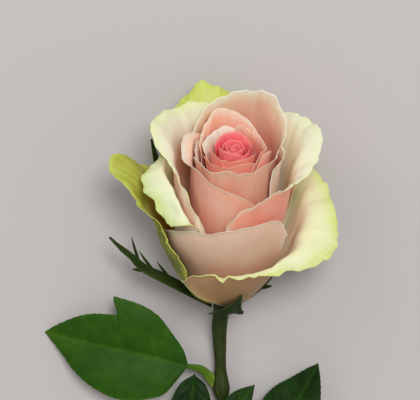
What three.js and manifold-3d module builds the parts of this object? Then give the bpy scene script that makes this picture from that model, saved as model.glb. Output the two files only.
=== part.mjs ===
// A cut rose lying on its side: about thirty petals wrapped round a tight pink centre, five
// sepals, the hip, and a prickly stem cut slantwise, with three leaves.
//
// Units are millimetres, +Z is up and the rose lies on the plane z = 0 with its head towards +Y.
// The origin is the middle of the footprint, at the level of the surface it lies on.
//
// Petals and sepals are drawn in the flower's own frame: the axis runs up through the bloom from
// the top of the hip, azimuth 0 faces away from the surface, azimuth 90 is towards +X and
// azimuth 180 is the side that lies down.

import * as THREE from 'three';
import { mergeVertices } from 'three/addons/utils/BufferGeometryUtils.js';
import Module from 'manifold-3d';

// ---------------------------------------------------------------- driving dimensions

const HEAD_TILT = 24; // degrees that the bloom's axis rises above the surface
const HEAD_TURN = -3; // degrees that the bloom is turned about the upright, towards +X when negative
const HIP_HEIGHT = 13.9; // height of the top of the hip above the surface
const CUP_HEIGHT = 45; // height in the bloom at which a petal has reached its full radius
const CUP_POWER = 0.45; // how quickly a petal swells out above its foot
const PETAL_THICKNESS = 0.4;
const PETAL_FOOT = 1.2; // height of a petal's foot above the hip
const SEPAL_THICKNESS = 0.6;
const LEAF_THICKNESS = 0.6;
const STEM_END = [4, -214]; // x and y of the cut end
const STEM_TOP_RADIUS = 2.3;
const STEM_END_RADIUS = 3.3;
const GAP = 0.4; // clearance between neighbouring pieces

const BLUSH = 0xf2b49c;
const CREAM = 0xeedfb4;
const LIME = 0xc3cf6a;
const ROSE = 0xf07c86;
const LEAF_GREEN = 0x2f5a1c;
const STEM_GREEN = 0x55672b;

// ---------------------------------------------------------------- petals

// Each petal: [name, colour, belly radius, azimuth of its middle, share of its width at the foot,
// ribs]. A rib runs from the foot to the rim: [azimuth, throat radius, throat height, rim radius,
// rim height]. The throat is where the petal leaves the cup, and a rim further out than its throat
// is rolled back. Petals are listed from the middle of the bloom outwards.
const PETALS = [
  ['back_inner_petal', ROSE, 7.4, 181, 0.3,
    [[112, 7, 60, 7.4, 70.6], [135, 7.1, 63, 7.4, 72.6], [160, 7.1, 64, 7.6, 73.8],
      [185, 7.1, 64, 7.6, 74.2], [209, 7.1, 63, 7.6, 73.6], [235, 7, 62, 7.4, 72], [250, 7, 60, 7.2, 71]]],
  ['front_inner_petal', ROSE, 8.5, -6, 0.3,
    [[-90, 8.1, 58, 8.3, 70.6], [-66, 8.1, 60, 8.5, 71.6], [-45, 8.1, 60, 8.6, 71.4],
      [-19, 8.1, 60, 8.7, 70.8], [12, 8.1, 60, 8.7, 71.4], [40, 8.1, 60, 8.6, 71.8],
      [62, 8.1, 59, 8.5, 71.6], [78, 8.1, 58, 8.3, 70.8]]],
  ['left_inner_petal', ROSE, 9.7, -129, 0.3,
    [[-182, 9.3, 60, 9.6, 73.6], [-163, 9.3, 62, 9.9, 75.6], [-146, 9.3, 63, 10, 74.8],
      [-125, 9.3, 63, 10.2, 73.6], [-108, 9.3, 62, 10.9, 72.6], [-92, 9.3, 60, 11.2, 71.6],
      [-76, 9.2, 57, 9.8, 68]]],
  ['front_fold_petal', ROSE, 10.7, -1, 0.3,
    [[-68, 10.4, 58, 11.3, 70.6], [-50, 10.3, 58, 11, 69.4], [-28, 10.3, 58, 10.8, 69],
      [-5, 10.3, 58, 10.7, 69.6], [18, 10.3, 58, 10.6, 71], [36, 10.3, 58, 10.6, 71],
      [54, 10.3, 56, 10.5, 69], [66, 10.3, 54, 10.4, 67]]],
  ['right_inner_petal', ROSE, 11.8, 106, 0.3,
    [[28, 11.5, 54, 11.9, 66], [42, 11.5, 58, 12, 70.4], [56, 11.5, 60, 12, 74],
      [75, 11.5, 61, 12.1, 73.6], [95, 11.4, 61, 11.9, 72.6], [116, 11.1, 61, 11.4, 73],
      [132, 11, 61, 11.2, 73.4], [152, 10.9, 62, 11.1, 74.8], [170, 10.9, 62, 11.1, 75],
      [184, 10.9, 60, 11, 72.6]]],
  ['tent_petal', BLUSH, 12.7, 190, 0.3,
    [[110, 12.3, 54, 12.8, 66], [125, 12.2, 58, 12.9, 70.6], [139, 12.1, 62, 12.9, 73.2],
      [152, 12.1, 65, 13, 75.6], [168, 12.1, 67, 13, 78.6], [188, 12.1, 68, 13, 80.8],
      [204, 12, 69, 13, 82], [217, 12, 69, 13, 81.6], [230, 12, 68, 13, 78.6], [242, 12, 66, 13, 76.4],
      [255, 11.9, 62, 12.8, 72.6], [268, 11.9, 58, 12.6, 70]]],
  ['right_nest_petal', BLUSH, 13.7, 68, 0.3,
    [[22, 13.5, 54, 13.7, 65], [38, 13.5, 58, 13.8, 70], [50, 13.5, 61, 13.9, 74.4],
      [66, 13.5, 61, 13.9, 74.2], [84, 13.5, 60, 13.9, 71.6], [104, 13.5, 56, 13.7, 66]]],
  ['left_notch_petal', BLUSH, 13.9, -82, 0.3,
    [[-150, 13.1, 58, 13.6, 69], [-130, 13, 60, 13.8, 70.4], [-108, 13, 61, 14, 71],
      [-84, 13, 60, 14.2, 70], [-60, 13.2, 58, 14.2, 68], [-36, 13.4, 56, 14, 66]]],
  ['front_cup_petal', BLUSH, 15.2, 7, 0.3,
    [[-68, 14.5, 58, 15.3, 70.4], [-57, 14.7, 59, 15.8, 71.2], [-44, 14.9, 60, 16, 70.2],
      [-26, 15.2, 60, 16.2, 70], [-3, 15.3, 61, 16.4, 71.2], [18, 15.4, 61, 16.4, 69.8],
      [38, 15.4, 61.6, 16.6, 71.6], [60, 15.5, 61.6, 16.8, 72], [80, 15.6, 61, 17, 74]]],
  ['left_fold_petal', BLUSH, 17, -50, 0.3,
    [[34, 17, 44, 17.4, 54.5], [20, 17.1, 50, 17.6, 59.4], [6, 17.2, 53, 17.8, 61.9],
      [-10, 17.3, 55, 17.9, 63.8], [-26, 17.2, 57, 17.9, 65.6], [-42, 16.9, 59, 18, 68.2],
      [-58, 16.3, 62, 18.6, 68.8], [-74, 15.8, 66, 19.2, 69], [-92, 15.4, 70, 19.4, 72.4],
      [-112, 15.3, 70.6, 18.6, 73], [-132, 15.3, 68, 17, 70.6], [-148, 15.4, 64, 16.4, 68]]],
  ['back_cup_petal', BLUSH, 18.3, 148, 0.3,
    [[56, 17.9, 56, 18.2, 71], [76, 17.8, 60, 18.2, 72], [98, 17.9, 64, 18.4, 73.2],
      [116, 18.3, 67, 20.6, 78.6], [130, 18.7, 70, 21.4, 82.6], [141, 18.9, 72, 21, 87.2],
      [160, 19, 73, 21.2, 85.4], [182, 19, 72, 21, 83.6], [203, 18.9, 70, 20.6, 81],
      [223, 18.4, 64, 19.4, 75], [240, 18.1, 58, 18.6, 69.6]]],
  ['right_wrap_petal', BLUSH, 20.2, 77, 0.35,
    [[-4, 20.4, 40, 21, 49], [18, 20.8, 49, 21.5, 58.6], [40, 21.2, 53.6, 22.2, 61.6],
      [60, 21.6, 55, 24, 62.4], [76, 22, 56, 27.6, 64.4], [89, 22.2, 58, 31.6, 69],
      [99, 22.6, 60, 33.4, 76.6], [113, 23, 62, 31.6, 78.2], [128, 23.2, 62, 28.4, 78.6],
      [146, 23, 62, 25.8, 76.4], [158, 22.8, 60, 24.4, 72]]],
  ['left_wrap_petal', BLUSH, 21, -95, 0.35,
    [[-20, 21.3, 38, 21.7, 45], [-38, 21.4, 47, 21.8, 54.4], [-56, 21.4, 55, 22.1, 61],
      [-71, 21.6, 61, 24.2, 67.4], [-79, 21.9, 64, 28.4, 74.6], [-87, 22.1, 65.4, 30.4, 80.8],
      [-108, 22.4, 66, 28.4, 80.4], [-131, 22.3, 65, 26.4, 79.4], [-154, 22, 63, 25.2, 77],
      [-170, 21.8, 60, 24.2, 72.6]]],
  ['back_wrap_petal', BLUSH, 22.4, 178, 0.35,
    [[118, 24, 46, 25.4, 58], [146, 24.4, 55, 27.4, 67], [178, 24.5, 60, 28.6, 73],
      [206, 24.4, 56, 27.8, 68], [232, 24, 48, 25.4, 60]]],
  ['front_apron_petal', BLUSH, 24.2, -8, 0.4,
    [[-80, 23.4, 28, 25, 36], [-63, 24.2, 33, 25.3, 41], [-47, 24.4, 36.6, 25.1, 44.6],
      [-32, 24.4, 39, 25, 46.9], [-15, 24.2, 41, 24.9, 48.9], [4, 24.2, 42.4, 24.9, 51.2],
      [24, 24.2, 43.4, 24.9, 52.2], [42, 24, 43, 24.8, 51.8], [53, 23.8, 40, 24.5, 48.4],
      [62, 23.6, 34, 24.3, 41]]],
  ['left_cape_petal', CREAM, 23, -66, 0.4,
    [[-24, 20.6, 33, 21.2, 39], [-34, 22.3, 42, 23.5, 48.6], [-42, 22.9, 48.6, 25.9, 48],
      [-50, 23.1, 52, 27.6, 46.6], [-58, 23.4, 55, 29.8, 47.6], [-66, 23.7, 57, 32.2, 51.6],
      [-74, 24.2, 59, 34, 55.4], [-82, 24.7, 60.6, 33.4, 58.6], [-90, 25.2, 61.2, 30.8, 61.4],
      [-98, 25.8, 61, 28.6, 62.4], [-106, 26.2, 58, 27.8, 60.4]]],
  ['back_right_petal', CREAM, 25.2, 138, 0.4,
    [[106, 24.8, 40, 25.6, 50], [120, 25.6, 50, 28.4, 61], [136, 26, 54, 30.4, 66],
      [152, 25.8, 50, 28.6, 61], [170, 25.6, 42, 26.6, 51]]],
  ['back_left_petal', CREAM, 26.4, -150, 0.4,
    [[-202, 27.2, 40, 28, 50], [-180, 27.4, 48, 28.8, 60], [-156, 27.4, 52, 29.2, 65],
      [-132, 27.2, 48, 29, 60], [-112, 26.8, 40, 27.6, 50]]],
  ['right_skirt_petal', LIME, 27, 44, 0.5,
    [[-42, 24.8, 18, 25.6, 23], [-30, 25, 22.6, 26.6, 27], [-14, 25.2, 27, 26.9, 30],
      [4, 25.4, 28.6, 27.4, 30], [24, 25.4, 30, 27.8, 31.4], [42, 25.6, 31, 29.8, 32],
      [54, 26, 32, 33, 31.4], [64, 26.6, 33.4, 36.6, 31.2], [73, 27, 35, 40.6, 33],
      [80, 27.4, 37, 43.4, 34.8], [87, 27.6, 39, 41.2, 42], [96, 27.6, 41.6, 38.6, 49.6],
      [108, 27.6, 43, 35.6, 55.4], [122, 27.4, 41, 32, 56]]],
  ['left_guard_petal', LIME, 31.6, -78, 0.5,
    [[-35, 26.2, 24, 26.6, 29.6], [-46, 26.4, 29.6, 26.8, 34.6], [-58, 26.8, 33, 27.2, 38.4],
      [-68, 27.8, 35, 28.8, 42], [-76, 29, 37, 34, 49], [-83, 30, 39.4, 41.6, 57.4],
      [-89, 30.6, 42, 46.6, 62], [-97, 30.6, 44, 42.4, 62], [-107, 30.2, 44, 39, 56],
      [-117, 29.8, 40, 34.4, 49]]],
  ['right_guard_petal', LIME, 29, 138, 0.5,
    [[104, 28.8, 30, 31.6, 38], [121, 29.2, 36, 36, 48], [138, 29.4, 38, 37.6, 52],
      [153, 29.2, 36, 34, 47], [165, 28.6, 30, 30, 37]]],
  ['back_guard_petal', LIME, 30.6, -163, 0.5,
    [[-124, 30.4, 38, 33, 53], [-136, 30.6, 46, 35.4, 70.6], [-144, 30.6, 50, 36, 74.2],
      [-151, 30.6, 53, 36.2, 75.8], [-157, 30.6, 56, 36.8, 81.6], [-167, 30.6, 56, 36.6, 79.2],
      [-178, 30.6, 54, 36.2, 76], [-188, 30.6, 50, 35.2, 71], [-198, 30.4, 42, 32.4, 58]]],
];

// The tight centre: petals rolled round each other, each a turn-and-a-bit from the one before.
const CORE = {
  count: 7,
  turn: 137.5,
  firstRadius: 1.4,
  lastRadius: 6,
  span: 92,
  firstHeight: 72,
  lastHeight: 72.6,
  drift: 0.3, // how far a petal winds inward or outward over half its span
};

// ---------------------------------------------------------------- small helpers

const radians = (degrees) => (degrees * Math.PI) / 180;
const lerp = (a, b, t) => a + (b - a) * t;
const smooth = (t) => {
  const c = Math.min(1, Math.max(0, t));
  return c * c * (3 - 2 * c);
};

// A value on the smooth curve through a list of rows, at t from 0 to 1: one number per column.
function along(rows, t) {
  const last = rows.length - 1;
  const x = Math.min(Math.max(t, 0), 1) * last;
  const i = Math.min(Math.floor(x), last - 1);
  const f = x - i;
  const row = (k) => rows[Math.min(Math.max(k, 0), last)];
  const [a, b, c, d] = [row(i - 1), row(i), row(i + 1), row(i + 2)];
  return b.map((_, k) => 0.5 * (2 * b[k] + (c[k] - a[k]) * f
    + (2 * a[k] - 5 * b[k] + 4 * c[k] - d[k]) * f * f
    + (3 * b[k] - a[k] - 3 * c[k] + d[k]) * f * f * f));
}

// A closed thin solid from a grid of middle-surface points[row][column], made thick along normals.
// It is thinner in its first rows by `footShare`, where petals crowd together.
function shell(points, thickness, footShare = 1) {
  const rows = points.length;
  const columns = points[0].length;
  const at = (j, i) => points[Math.min(Math.max(j, 0), rows - 1)][Math.min(Math.max(i, 0), columns - 1)];
  const vertices = [];
  for (const side of [1, -1]) {
    for (let j = 0; j < rows; j += 1) {
      for (let i = 0; i < columns; i += 1) {
        const across = at(j, i + 1).clone().sub(at(j, i - 1));
        const up = at(j + 1, i).clone().sub(at(j - 1, i));
        const normal = across.cross(up).normalize();
        const thick = thickness * lerp(footShare, 1, smooth(j / rows / 0.35));
        vertices.push(...at(j, i).clone().addScaledVector(normal, (side * thick) / 2).toArray());
      }
    }
  }
  const id = (side, j, i) => side * rows * columns + j * columns + i;
  const faces = [];
  const quad = (a, b, c, d) => faces.push(a, b, c, a, c, d);
  for (let j = 0; j < rows - 1; j += 1) {
    for (let i = 0; i < columns - 1; i += 1) {
      quad(id(0, j, i), id(0, j, i + 1), id(0, j + 1, i + 1), id(0, j + 1, i));
      quad(id(1, j, i), id(1, j + 1, i), id(1, j + 1, i + 1), id(1, j, i + 1));
    }
  }
  for (let i = 0; i < columns - 1; i += 1) {
    quad(id(0, 0, i + 1), id(0, 0, i), id(1, 0, i), id(1, 0, i + 1));
    quad(id(0, rows - 1, i), id(0, rows - 1, i + 1), id(1, rows - 1, i + 1), id(1, rows - 1, i));
  }
  for (let j = 0; j < rows - 1; j += 1) {
    quad(id(0, j, 0), id(0, j + 1, 0), id(1, j + 1, 0), id(1, j, 0));
    quad(id(0, j + 1, columns - 1), id(0, j, columns - 1), id(1, j, columns - 1), id(1, j + 1, columns - 1));
  }
  const geometry = new THREE.BufferGeometry();
  geometry.setAttribute('position', new THREE.Float32BufferAttribute(vertices, 3));
  geometry.setIndex(faces);
  return geometry;
}

function piece(name, geometry, colour) {
  const material = new THREE.MeshStandardMaterial({ color: colour, roughness: 0.6, metalness: 0 });
  material.side = THREE.DoubleSide;
  const mesh = new THREE.Mesh(geometry, material);
  mesh.name = name;
  return mesh;
}

// ---------------------------------------------------------------- the bloom

// A point of the bloom from azimuth, radius and height, in the flower's frame.
const bloomPoint = (azimuth, radius, height) => new THREE.Vector3(
  radius * Math.sin(radians(azimuth)), radius * Math.cos(radians(azimuth)), height);

const cup = (belly, height) => belly * Math.min(1, Math.max(height, 0) / CUP_HEIGHT) ** CUP_POWER;

// A point of a petal: u runs 0 to 1 across its ribs and v runs 0 to 1 from foot to rim.
const THROAT_AT = 0.7; // share of v at which a rib reaches its throat
function petalPoint(petal, u, v) {
  const [, , belly, middle, footShare, ribs] = petal;
  const [azimuth, throatRadius, throatHeight, rimRadius, rimHeight] = along(ribs, u);
  const rise = Math.min(1, v / THROAT_AT);
  const height = lerp(PETAL_FOOT, throatHeight, rise ** 1.35);
  const ease = smooth((rise - 0.35) / 0.65);
  const fan = lerp(footShare, 1, smooth(height / 26));
  const radius = cup(belly, height) * lerp(1, throatRadius / cup(belly, throatHeight), ease);
  const turned = middle + (azimuth - middle) * fan;
  if (v <= THROAT_AT) return bloomPoint(turned, radius, height);
  // Above the throat the rib is a curve that starts upright and rolls over towards the rim.
  const t = (v - THROAT_AT) / (1 - THROAT_AT);
  const reach = Math.hypot(rimRadius - throatRadius, rimHeight - throatHeight);
  const kneeRadius = throatRadius + 0.08 * (rimRadius - throatRadius);
  const kneeHeight = throatHeight + 0.55 * reach;
  const mix = (a, b, c) => (1 - t) * (1 - t) * a + 2 * t * (1 - t) * b + t * t * c;
  return bloomPoint(turned, mix(throatRadius, kneeRadius, rimRadius), mix(throatHeight, kneeHeight, rimHeight));
}

function petalGeometry(petal, columns, rows) {
  const points = [];
  for (let j = 0; j <= rows; j += 1) {
    const row = [];
    for (let i = 0; i <= columns; i += 1) row.push(petalPoint(petal, i / columns, j / rows));
    points.push(row);
  }
  // Ribs may be listed either way round, so the faces are turned to point outwards.
  const ribs = petal[5];
  if (ribs[0][0] < ribs[ribs.length - 1][0]) points.forEach((row) => row.reverse());
  return shell(points, PETAL_THICKNESS, 0.45);
}

function corePetals() {
  const made = [];
  for (let k = 0; k < CORE.count; k += 1) {
    const t = k / (CORE.count - 1);
    const radius = lerp(CORE.firstRadius, CORE.lastRadius, t);
    const top = lerp(CORE.firstHeight, CORE.lastHeight, t);
    const middle = k * CORE.turn;
    const ribs = [-1, -0.5, 0, 0.5, 1].map((s) => [
      middle + s * CORE.span, radius - CORE.drift * s, 54, radius - CORE.drift * s, top - 3 * s * s]);
    const name = `core_petal_${k + 1}`;
    made.push(piece(name, petalGeometry([name, ROSE, radius * 1.05, middle, 0.4, ribs], 10, 5), ROSE));
  }
  return made;
}

function bloomPetals() {
  return PETALS.map((petal) => {
    const columns = Math.max(6, petal[5].length + 1);
    return piece(petal[0], petalGeometry(petal, columns, 8), petal[1]);
  });
}

// The bloom's frame set in the world: x to the right, the front up and the axis along the head.
const tilt = radians(HEAD_TILT);
const bloomFrame = new THREE.Matrix4().makeTranslation(0, 0, HIP_HEIGHT)
  .multiply(new THREE.Matrix4().makeRotationZ(radians(HEAD_TURN)))
  .multiply(new THREE.Matrix4().makeBasis(
    new THREE.Vector3(1, 0, 0),
    new THREE.Vector3(0, -Math.sin(tilt), Math.cos(tilt)),
    new THREE.Vector3(0, Math.cos(tilt), Math.sin(tilt)),
  ));

const bloom = new THREE.Group();
bloom.applyMatrix4(bloomFrame);
corePetals().forEach((mesh) => bloom.add(mesh));
bloomPetals().forEach((mesh) => bloom.add(mesh));

// ---------------------------------------------------------------- blades: sepals and leaflets

// A thin blade along a path. Each row is [x, y, z, width to the left, width to the right], `face`
// is the way its upper side looks and `fold` lifts its two halves like an opening book.
function bladeGeometry(rows, face, fold, thickness, steps, columns = 4) {
  const up = new THREE.Vector3(...face);
  const points = [];
  const cosine = Math.cos(radians(fold));
  const sine = Math.sin(radians(fold));
  for (let j = 0; j <= steps; j += 1) {
    const t = j / steps;
    const [x, y, z, left, right] = along(rows, t);
    const before = along(rows, t - 0.02);
    const after = along(rows, t + 0.02);
    const tangent = new THREE.Vector3(after[0] - before[0], after[1] - before[1], after[2] - before[2]);
    const side = tangent.clone().cross(up).normalize();
    const normal = side.clone().cross(tangent).normalize();
    const row = [];
    for (let i = 0; i <= columns; i += 1) {
      const s = (2 * i) / columns - 1;
      const width = Math.max(0.3, s < 0 ? left : right) * s;
      row.push(new THREE.Vector3(x, y, z)
        .addScaledVector(side, width * cosine)
        .addScaledVector(normal, Math.abs(width) * sine));
    }
    points.push(row);
  }
  return shell(points, thickness);
}

// Sepals in the bloom's frame: [azimuth, radius, height, width to the left, width to the right].
const SEPALS = [
  ['sepal_1', 11, [[2, 5.4, -1.4, 4.4, 3.6], [3, 7.2, -0.9, 6.4, 5.8], [4, 9.4, 0.6, 7, 7],
    [8, 12.4, 3.6, 6.2, 6.8], [13, 14.9, 7.2, 3.6, 4.6], [17, 17, 11.4, 1.5, 1.8],
    [19, 18.9, 16, 0.3, 0.3]]],
  ['sepal_2', 14, [[-78, 5.6, -0.6, 2.6, 2.6], [-85, 14.2, 4.8, 4, 4], [-90, 24.4, 9.6, 4.6, 4],
    [-92, 33, 13.6, 4.2, 3.2], [-94, 38.4, 18, 3, 2.4], [-96, 43.4, 21, 1.8, 1.6],
    [-97, 47, 24.2, 0.3, 0.3]]],
  ['sepal_3', 10, [[-136, 5.6, -0.6, 2.6, 2.6], [-136, 12.4, 4.2, 4, 4], [-134, 23, 16, 4, 4],
    [-132, 31.4, 31, 3, 3], [-131, 36, 40.5, 2.2, 2.2], [-130, 39.6, 50, 1.5, 1.5],
    [-129, 41.4, 58, 0.3, 0.3]]],
  ['sepal_4', 12, [[108, 5.6, -0.6, 2.6, 2.6], [110, 11.2, 3.4, 3, 3.4], [112, 17.2, 8, 2.8, 3.2],
    [114, 22.4, 14.6, 2.4, 2.4], [115, 25.8, 21.6, 1.8, 1.8], [116, 28, 28, 0.3, 0.3]]],
  ['sepal_5', 8, [[170, 5.6, -0.6, 2.8, 2.8], [176, 11.4, 3.8, 3.8, 3.8], [181, 16.8, 9, 4, 4],
    [183, 21.8, 16.5, 3.6, 3.6], [184, 26, 25, 3, 3], [184, 29.8, 34, 2, 2], [184, 32, 42, 0.3, 0.3]]],
];

SEPALS.forEach(([name, fold, rows]) => {
  const placed = rows.map(([azimuth, radius, height, left, right]) => [
    ...bloomPoint(azimuth, radius, height).toArray(), left, right]);
  const face = bloomPoint(rows[1][0], -0.5, 1).toArray();
  bloom.add(piece(name, bladeGeometry(placed, face, fold, SEPAL_THICKNESS, 12), LEAF_GREEN));
});

// ---------------------------------------------------------------- stem

const underBloom = (height, aside) => new THREE.Vector3(aside, 0, height).applyMatrix4(bloomFrame).toArray();

// The stem's centre line with its radius: [x, y, z, radius], from the top of the hip to the cut.
const STEM = [
  [...underBloom(0.2, 0), 4.3],
  [...underBloom(-2.4, -0.5), 4.1],
  [...underBloom(-6, -1.2), 3.3],
  [-1.7, -12, 9, 2.6],
  [-1.4, -20, 6.9, 2.2],
  [-1, -29, 5.6, 2.15],
  [-1.2, -36.6, 5.1, 3],
  [-0.6, -43, 4.4, 2.2],
  [0.6, -52, 4.1, 2.3],
  [1.4, -59, 4, 2.8],
  [2.6, -68, 3.6, 2.35],
  [4.6, -90, 3.2, 2.4],
  [6, -108, 3.2, 2.9],
  [6.8, -120, 3, 2.5],
  [7.2, -150, 3, 2.6],
  [6, -180, 3.1, 2.8],
  [4.4, -205, 3.3, 3],
  [STEM_END[0], STEM_END[1], STEM_END_RADIUS, STEM_END_RADIUS],
];
const STEM_SIDES = 10;
const STEM_STEPS = 40;
const CUT_SLANT = 0.9; // how far the cut leans, as a share of the stem's radius

// A closed round body along a path of [x, y, z, radius], its last ring slanted by `slant`.
function rodGeometry(rows, steps, sides, slant) {
  const vertices = [];
  for (let j = 0; j <= steps; j += 1) {
    const t = j / steps;
    const [x, y, z, radius] = along(rows, t);
    const before = along(rows, t - 0.01);
    const after = along(rows, t + 0.01);
    const tangent = new THREE.Vector3(after[0] - before[0], after[1] - before[1], after[2] - before[2]).normalize();
    const side = tangent.clone().cross(new THREE.Vector3(0, 0, 1)).normalize();
    const over = side.clone().cross(tangent);
    for (let i = 0; i < sides; i += 1) {
      const angle = (2 * Math.PI * i) / sides;
      const p = new THREE.Vector3(x, y, z)
        .addScaledVector(side, radius * Math.cos(angle))
        .addScaledVector(over, radius * Math.sin(angle));
      if (j === steps) p.addScaledVector(tangent, slant * radius * Math.sin(angle));
      vertices.push(...p.toArray());
    }
  }
  const faces = [];
  for (let j = 0; j < steps; j += 1) {
    for (let i = 0; i < sides; i += 1) {
      const k = (i + 1) % sides;
      const [a, b, c, d] = [j * sides + i, j * sides + k, (j + 1) * sides + k, (j + 1) * sides + i];
      faces.push(a, c, b, a, d, c);
    }
  }
  for (const j of [0, steps]) {
    const centre = vertices.length / 3;
    const sum = [0, 0, 0];
    for (let i = 0; i < sides; i += 1) for (let k = 0; k < 3; k += 1) sum[k] += vertices[(j * sides + i) * 3 + k] / sides;
    vertices.push(...sum);
    for (let i = 0; i < sides; i += 1) {
      const k = (i + 1) % sides;
      if (j === 0) faces.push(centre, i, k);
      else faces.push(centre, j * sides + k, j * sides + i);
    }
  }
  const geometry = new THREE.BufferGeometry();
  geometry.setAttribute('position', new THREE.Float32BufferAttribute(vertices, 3));
  geometry.setIndex(faces);
  return geometry;
}

const wasm = await Module();
wasm.setup();

function solidOf(geometry) {
  const merged = mergeVertices(geometry.clone(), 1e-4);
  return new wasm.Manifold(new wasm.Mesh({
    numProp: 3,
    vertProperties: new Float32Array(merged.attributes.position.array),
    triVerts: new Uint32Array(merged.index.array),
  }));
}

function geometryOf(solid) {
  const mesh = solid.getMesh();
  const geometry = new THREE.BufferGeometry();
  geometry.setAttribute('position', new THREE.BufferAttribute(mesh.vertProperties, mesh.numProp));
  geometry.setIndex(new THREE.BufferAttribute(mesh.triVerts, 1));
  return geometry;
}

// Prickles: short curved cones on the lower stem, each at a share of its length and an angle round it.
const PRICKLES = [
  [0.42, 40], [0.5, 150], [0.565, 75], [0.67, 20], [0.715, 165], [0.78, 100], [0.84, 35], [0.9, 140],
];
const PRICKLE_LENGTH = 4.6;

function prickleGeometry([share, angle]) {
  const [x, y, z, radius] = along(STEM, share);
  const after = along(STEM, share + 0.01);
  const tangent = new THREE.Vector3(after[0] - x, after[1] - y, after[2] - z).normalize();
  const side = tangent.clone().cross(new THREE.Vector3(0, 0, 1)).normalize();
  const over = side.clone().cross(tangent);
  const out = side.clone().multiplyScalar(Math.cos(radians(angle))).addScaledVector(over, Math.sin(radians(angle)));
  const foot = new THREE.Vector3(x, y, z).addScaledVector(out, radius * 0.55);
  const rows = [0, 0.35, 0.7, 1].map((t) => {
    const p = foot.clone().addScaledVector(out, t * (PRICKLE_LENGTH + radius * 0.45))
      .addScaledVector(tangent, t * t * 2.2);
    return [...p.toArray(), lerp(1.7, 0.12, t ** 0.6)];
  });
  return rodGeometry(rows, 4, 6, 0);
}

const prickles = PRICKLES.map((prickle) => solidOf(prickleGeometry(prickle)));
const stemSolid = prickles.reduce(
  (joined, prickle) => joined.add(prickle), solidOf(rodGeometry(STEM, STEM_STEPS, STEM_SIDES, CUT_SLANT)));
const stem = piece('stem', geometryOf(stemSolid), STEM_GREEN);

// ---------------------------------------------------------------- leaves

// Outline of a leaflet along its midrib: share of its length, and of its half width on each side.
const LEAFLET = [[0.02, 0.02], [0.5, 0.5], [0.86, 0.86], [1, 1], [0.96, 0.96], [0.78, 0.78], [0.5, 0.5],
  [0.22, 0.22], [0.02, 0.02]];

// Leaflets: [name, half width, fold, face, midrib points from base to tip].
const LEAFLETS = [
  ['leaf_a_lateral', 8.4, 12, [0, -0.1, 1],
    [[-12.2, -31.2, 8.2], [-13.4, -42, 9.4], [-15.2, -54, 7], [-18.2, -66, 0.7]]],
  ['leaf_b_terminal', 12, 14, [-0.3, 0.1, 1],
    [[17, -61, 8], [24, -50, 10.4], [31.6, -38, 10.4], [37.6, -25.6, 12.6]]],
  ['leaf_b_lateral_1', 7.4, 8, [0, 0, 1],
    [[8.6, -57.6, 8.6], [6, -50, 8.6], [6.4, -42.6, 8.4], [12, -36.2, 6]]],
  ['leaf_b_lateral_2', 10.4, 14, [0.2, 0, 1],
    [[13.2, -63.6, 7.4], [19, -72, 8.8], [25.6, -79.6, 6.8], [33.6, -86, 0.7]]],
  ['leaf_c_terminal', 13, 14, [0, 0, 1],
    [[-38.4, -148.4, 7.4], [-48, -158, 9], [-58, -167.6, 7], [-69, -178, 0.5]]],
  ['leaf_c_lateral_1', 10.8, 14, [0, 0, 1],
    [[-34.6, -141.6, 7.4], [-45, -137.4, 9], [-55, -133, 6.6], [-65.4, -128.4, 0.5]]],
  ['leaf_c_lateral_2', 10.8, 14, [0, 0, 1],
    [[-28.8, -147.4, 7.4], [-27, -158, 9], [-25, -169, 6.6], [-22, -181, 0.5]]],
  ['leaf_c_lateral_3', 9, 14, [0, 0, 1],
    [[-18.6, -126.4, 6.4], [-27.6, -121.4, 7.8], [-36, -116.6, 6], [-44.6, -111.6, 0.5]]],
  ['leaf_c_lateral_4', 9, 14, [0, 0, 1],
    [[-14, -131.6, 6.4], [-10.4, -140.6, 7.8], [-7.4, -149.6, 6], [-4.6, -159.4, 0.5]]],
];

// The big leaflet has a second, pointed lobe grown into its upper edge, so its outline is its own.
const LOBED = ['leaf_a_terminal', 10, [0, 0, 1], [
  [-14.8, -27.2, 9.4, 0.3, 0.3], [-20.4, -25.6, 9.8, 11.6, 7.4], [-27, -24, 9.8, 16, 13.4],
  [-33.6, -22.4, 10, 18.4, 18], [-40, -21, 9.8, 19.2, 20.4], [-46, -19.8, 9.2, 18.4, 17.6],
  [-52.4, -18.6, 8, 15.6, 14], [-59.2, -17.4, 6.2, 11.6, 11.4], [-66, -16.2, 3.8, 5.8, 6.6],
  [-73, -15.2, 0.5, 0.3, 0.3]]];

const leaves = new THREE.Group();
LEAFLETS.forEach(([name, half, fold, face, midrib]) => {
  const rows = LEAFLET.map(([left, right], k) => [
    ...along(midrib, k / (LEAFLET.length - 1)), left * half, right * half]);
  leaves.add(piece(name, bladeGeometry(rows, face, fold, LEAF_THICKNESS, 10), LEAF_GREEN));
});
leaves.add(piece(LOBED[0], bladeGeometry(LOBED[3], LOBED[2], LOBED[1], LEAF_THICKNESS, 18), LEAF_GREEN));

// Leaf stalks: a rod of [x, y, z, radius] rows with two stipules grown along its foot.
const STALKS = [
  ['leaf_a_stalk', [[-4.9, -34.4, 5.6, 1.5], [-7, -31.4, 6.4, 1.25], [-9.8, -28.8, 7.4, 1.1],
    [-13.6, -27.6, 8.2, 1]]],
  ['leaf_b_stalk', [[5.4, -59.4, 5, 1.5], [8.6, -60.4, 5.8, 1.2], [12, -61.2, 6.6, 1], [16, -61.4, 7.2, 0.9]]],
  ['leaf_c_stalk', [[1.6, -110, 4.4, 1.6], [-4.8, -117, 4.8, 1.25], [-16, -128.4, 5.8, 1.05],
    [-27, -139, 6.6, 0.95], [-37.4, -147.6, 7, 0.85]]],
];
STALKS.forEach(([name, rows]) => {
  leaves.add(piece(name, rodGeometry(rows, 10, 8, 0), STEM_GREEN));
});

// ---------------------------------------------------------------- the whole rose

const rose = new THREE.Group();
rose.add(bloom, stem, leaves);

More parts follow.
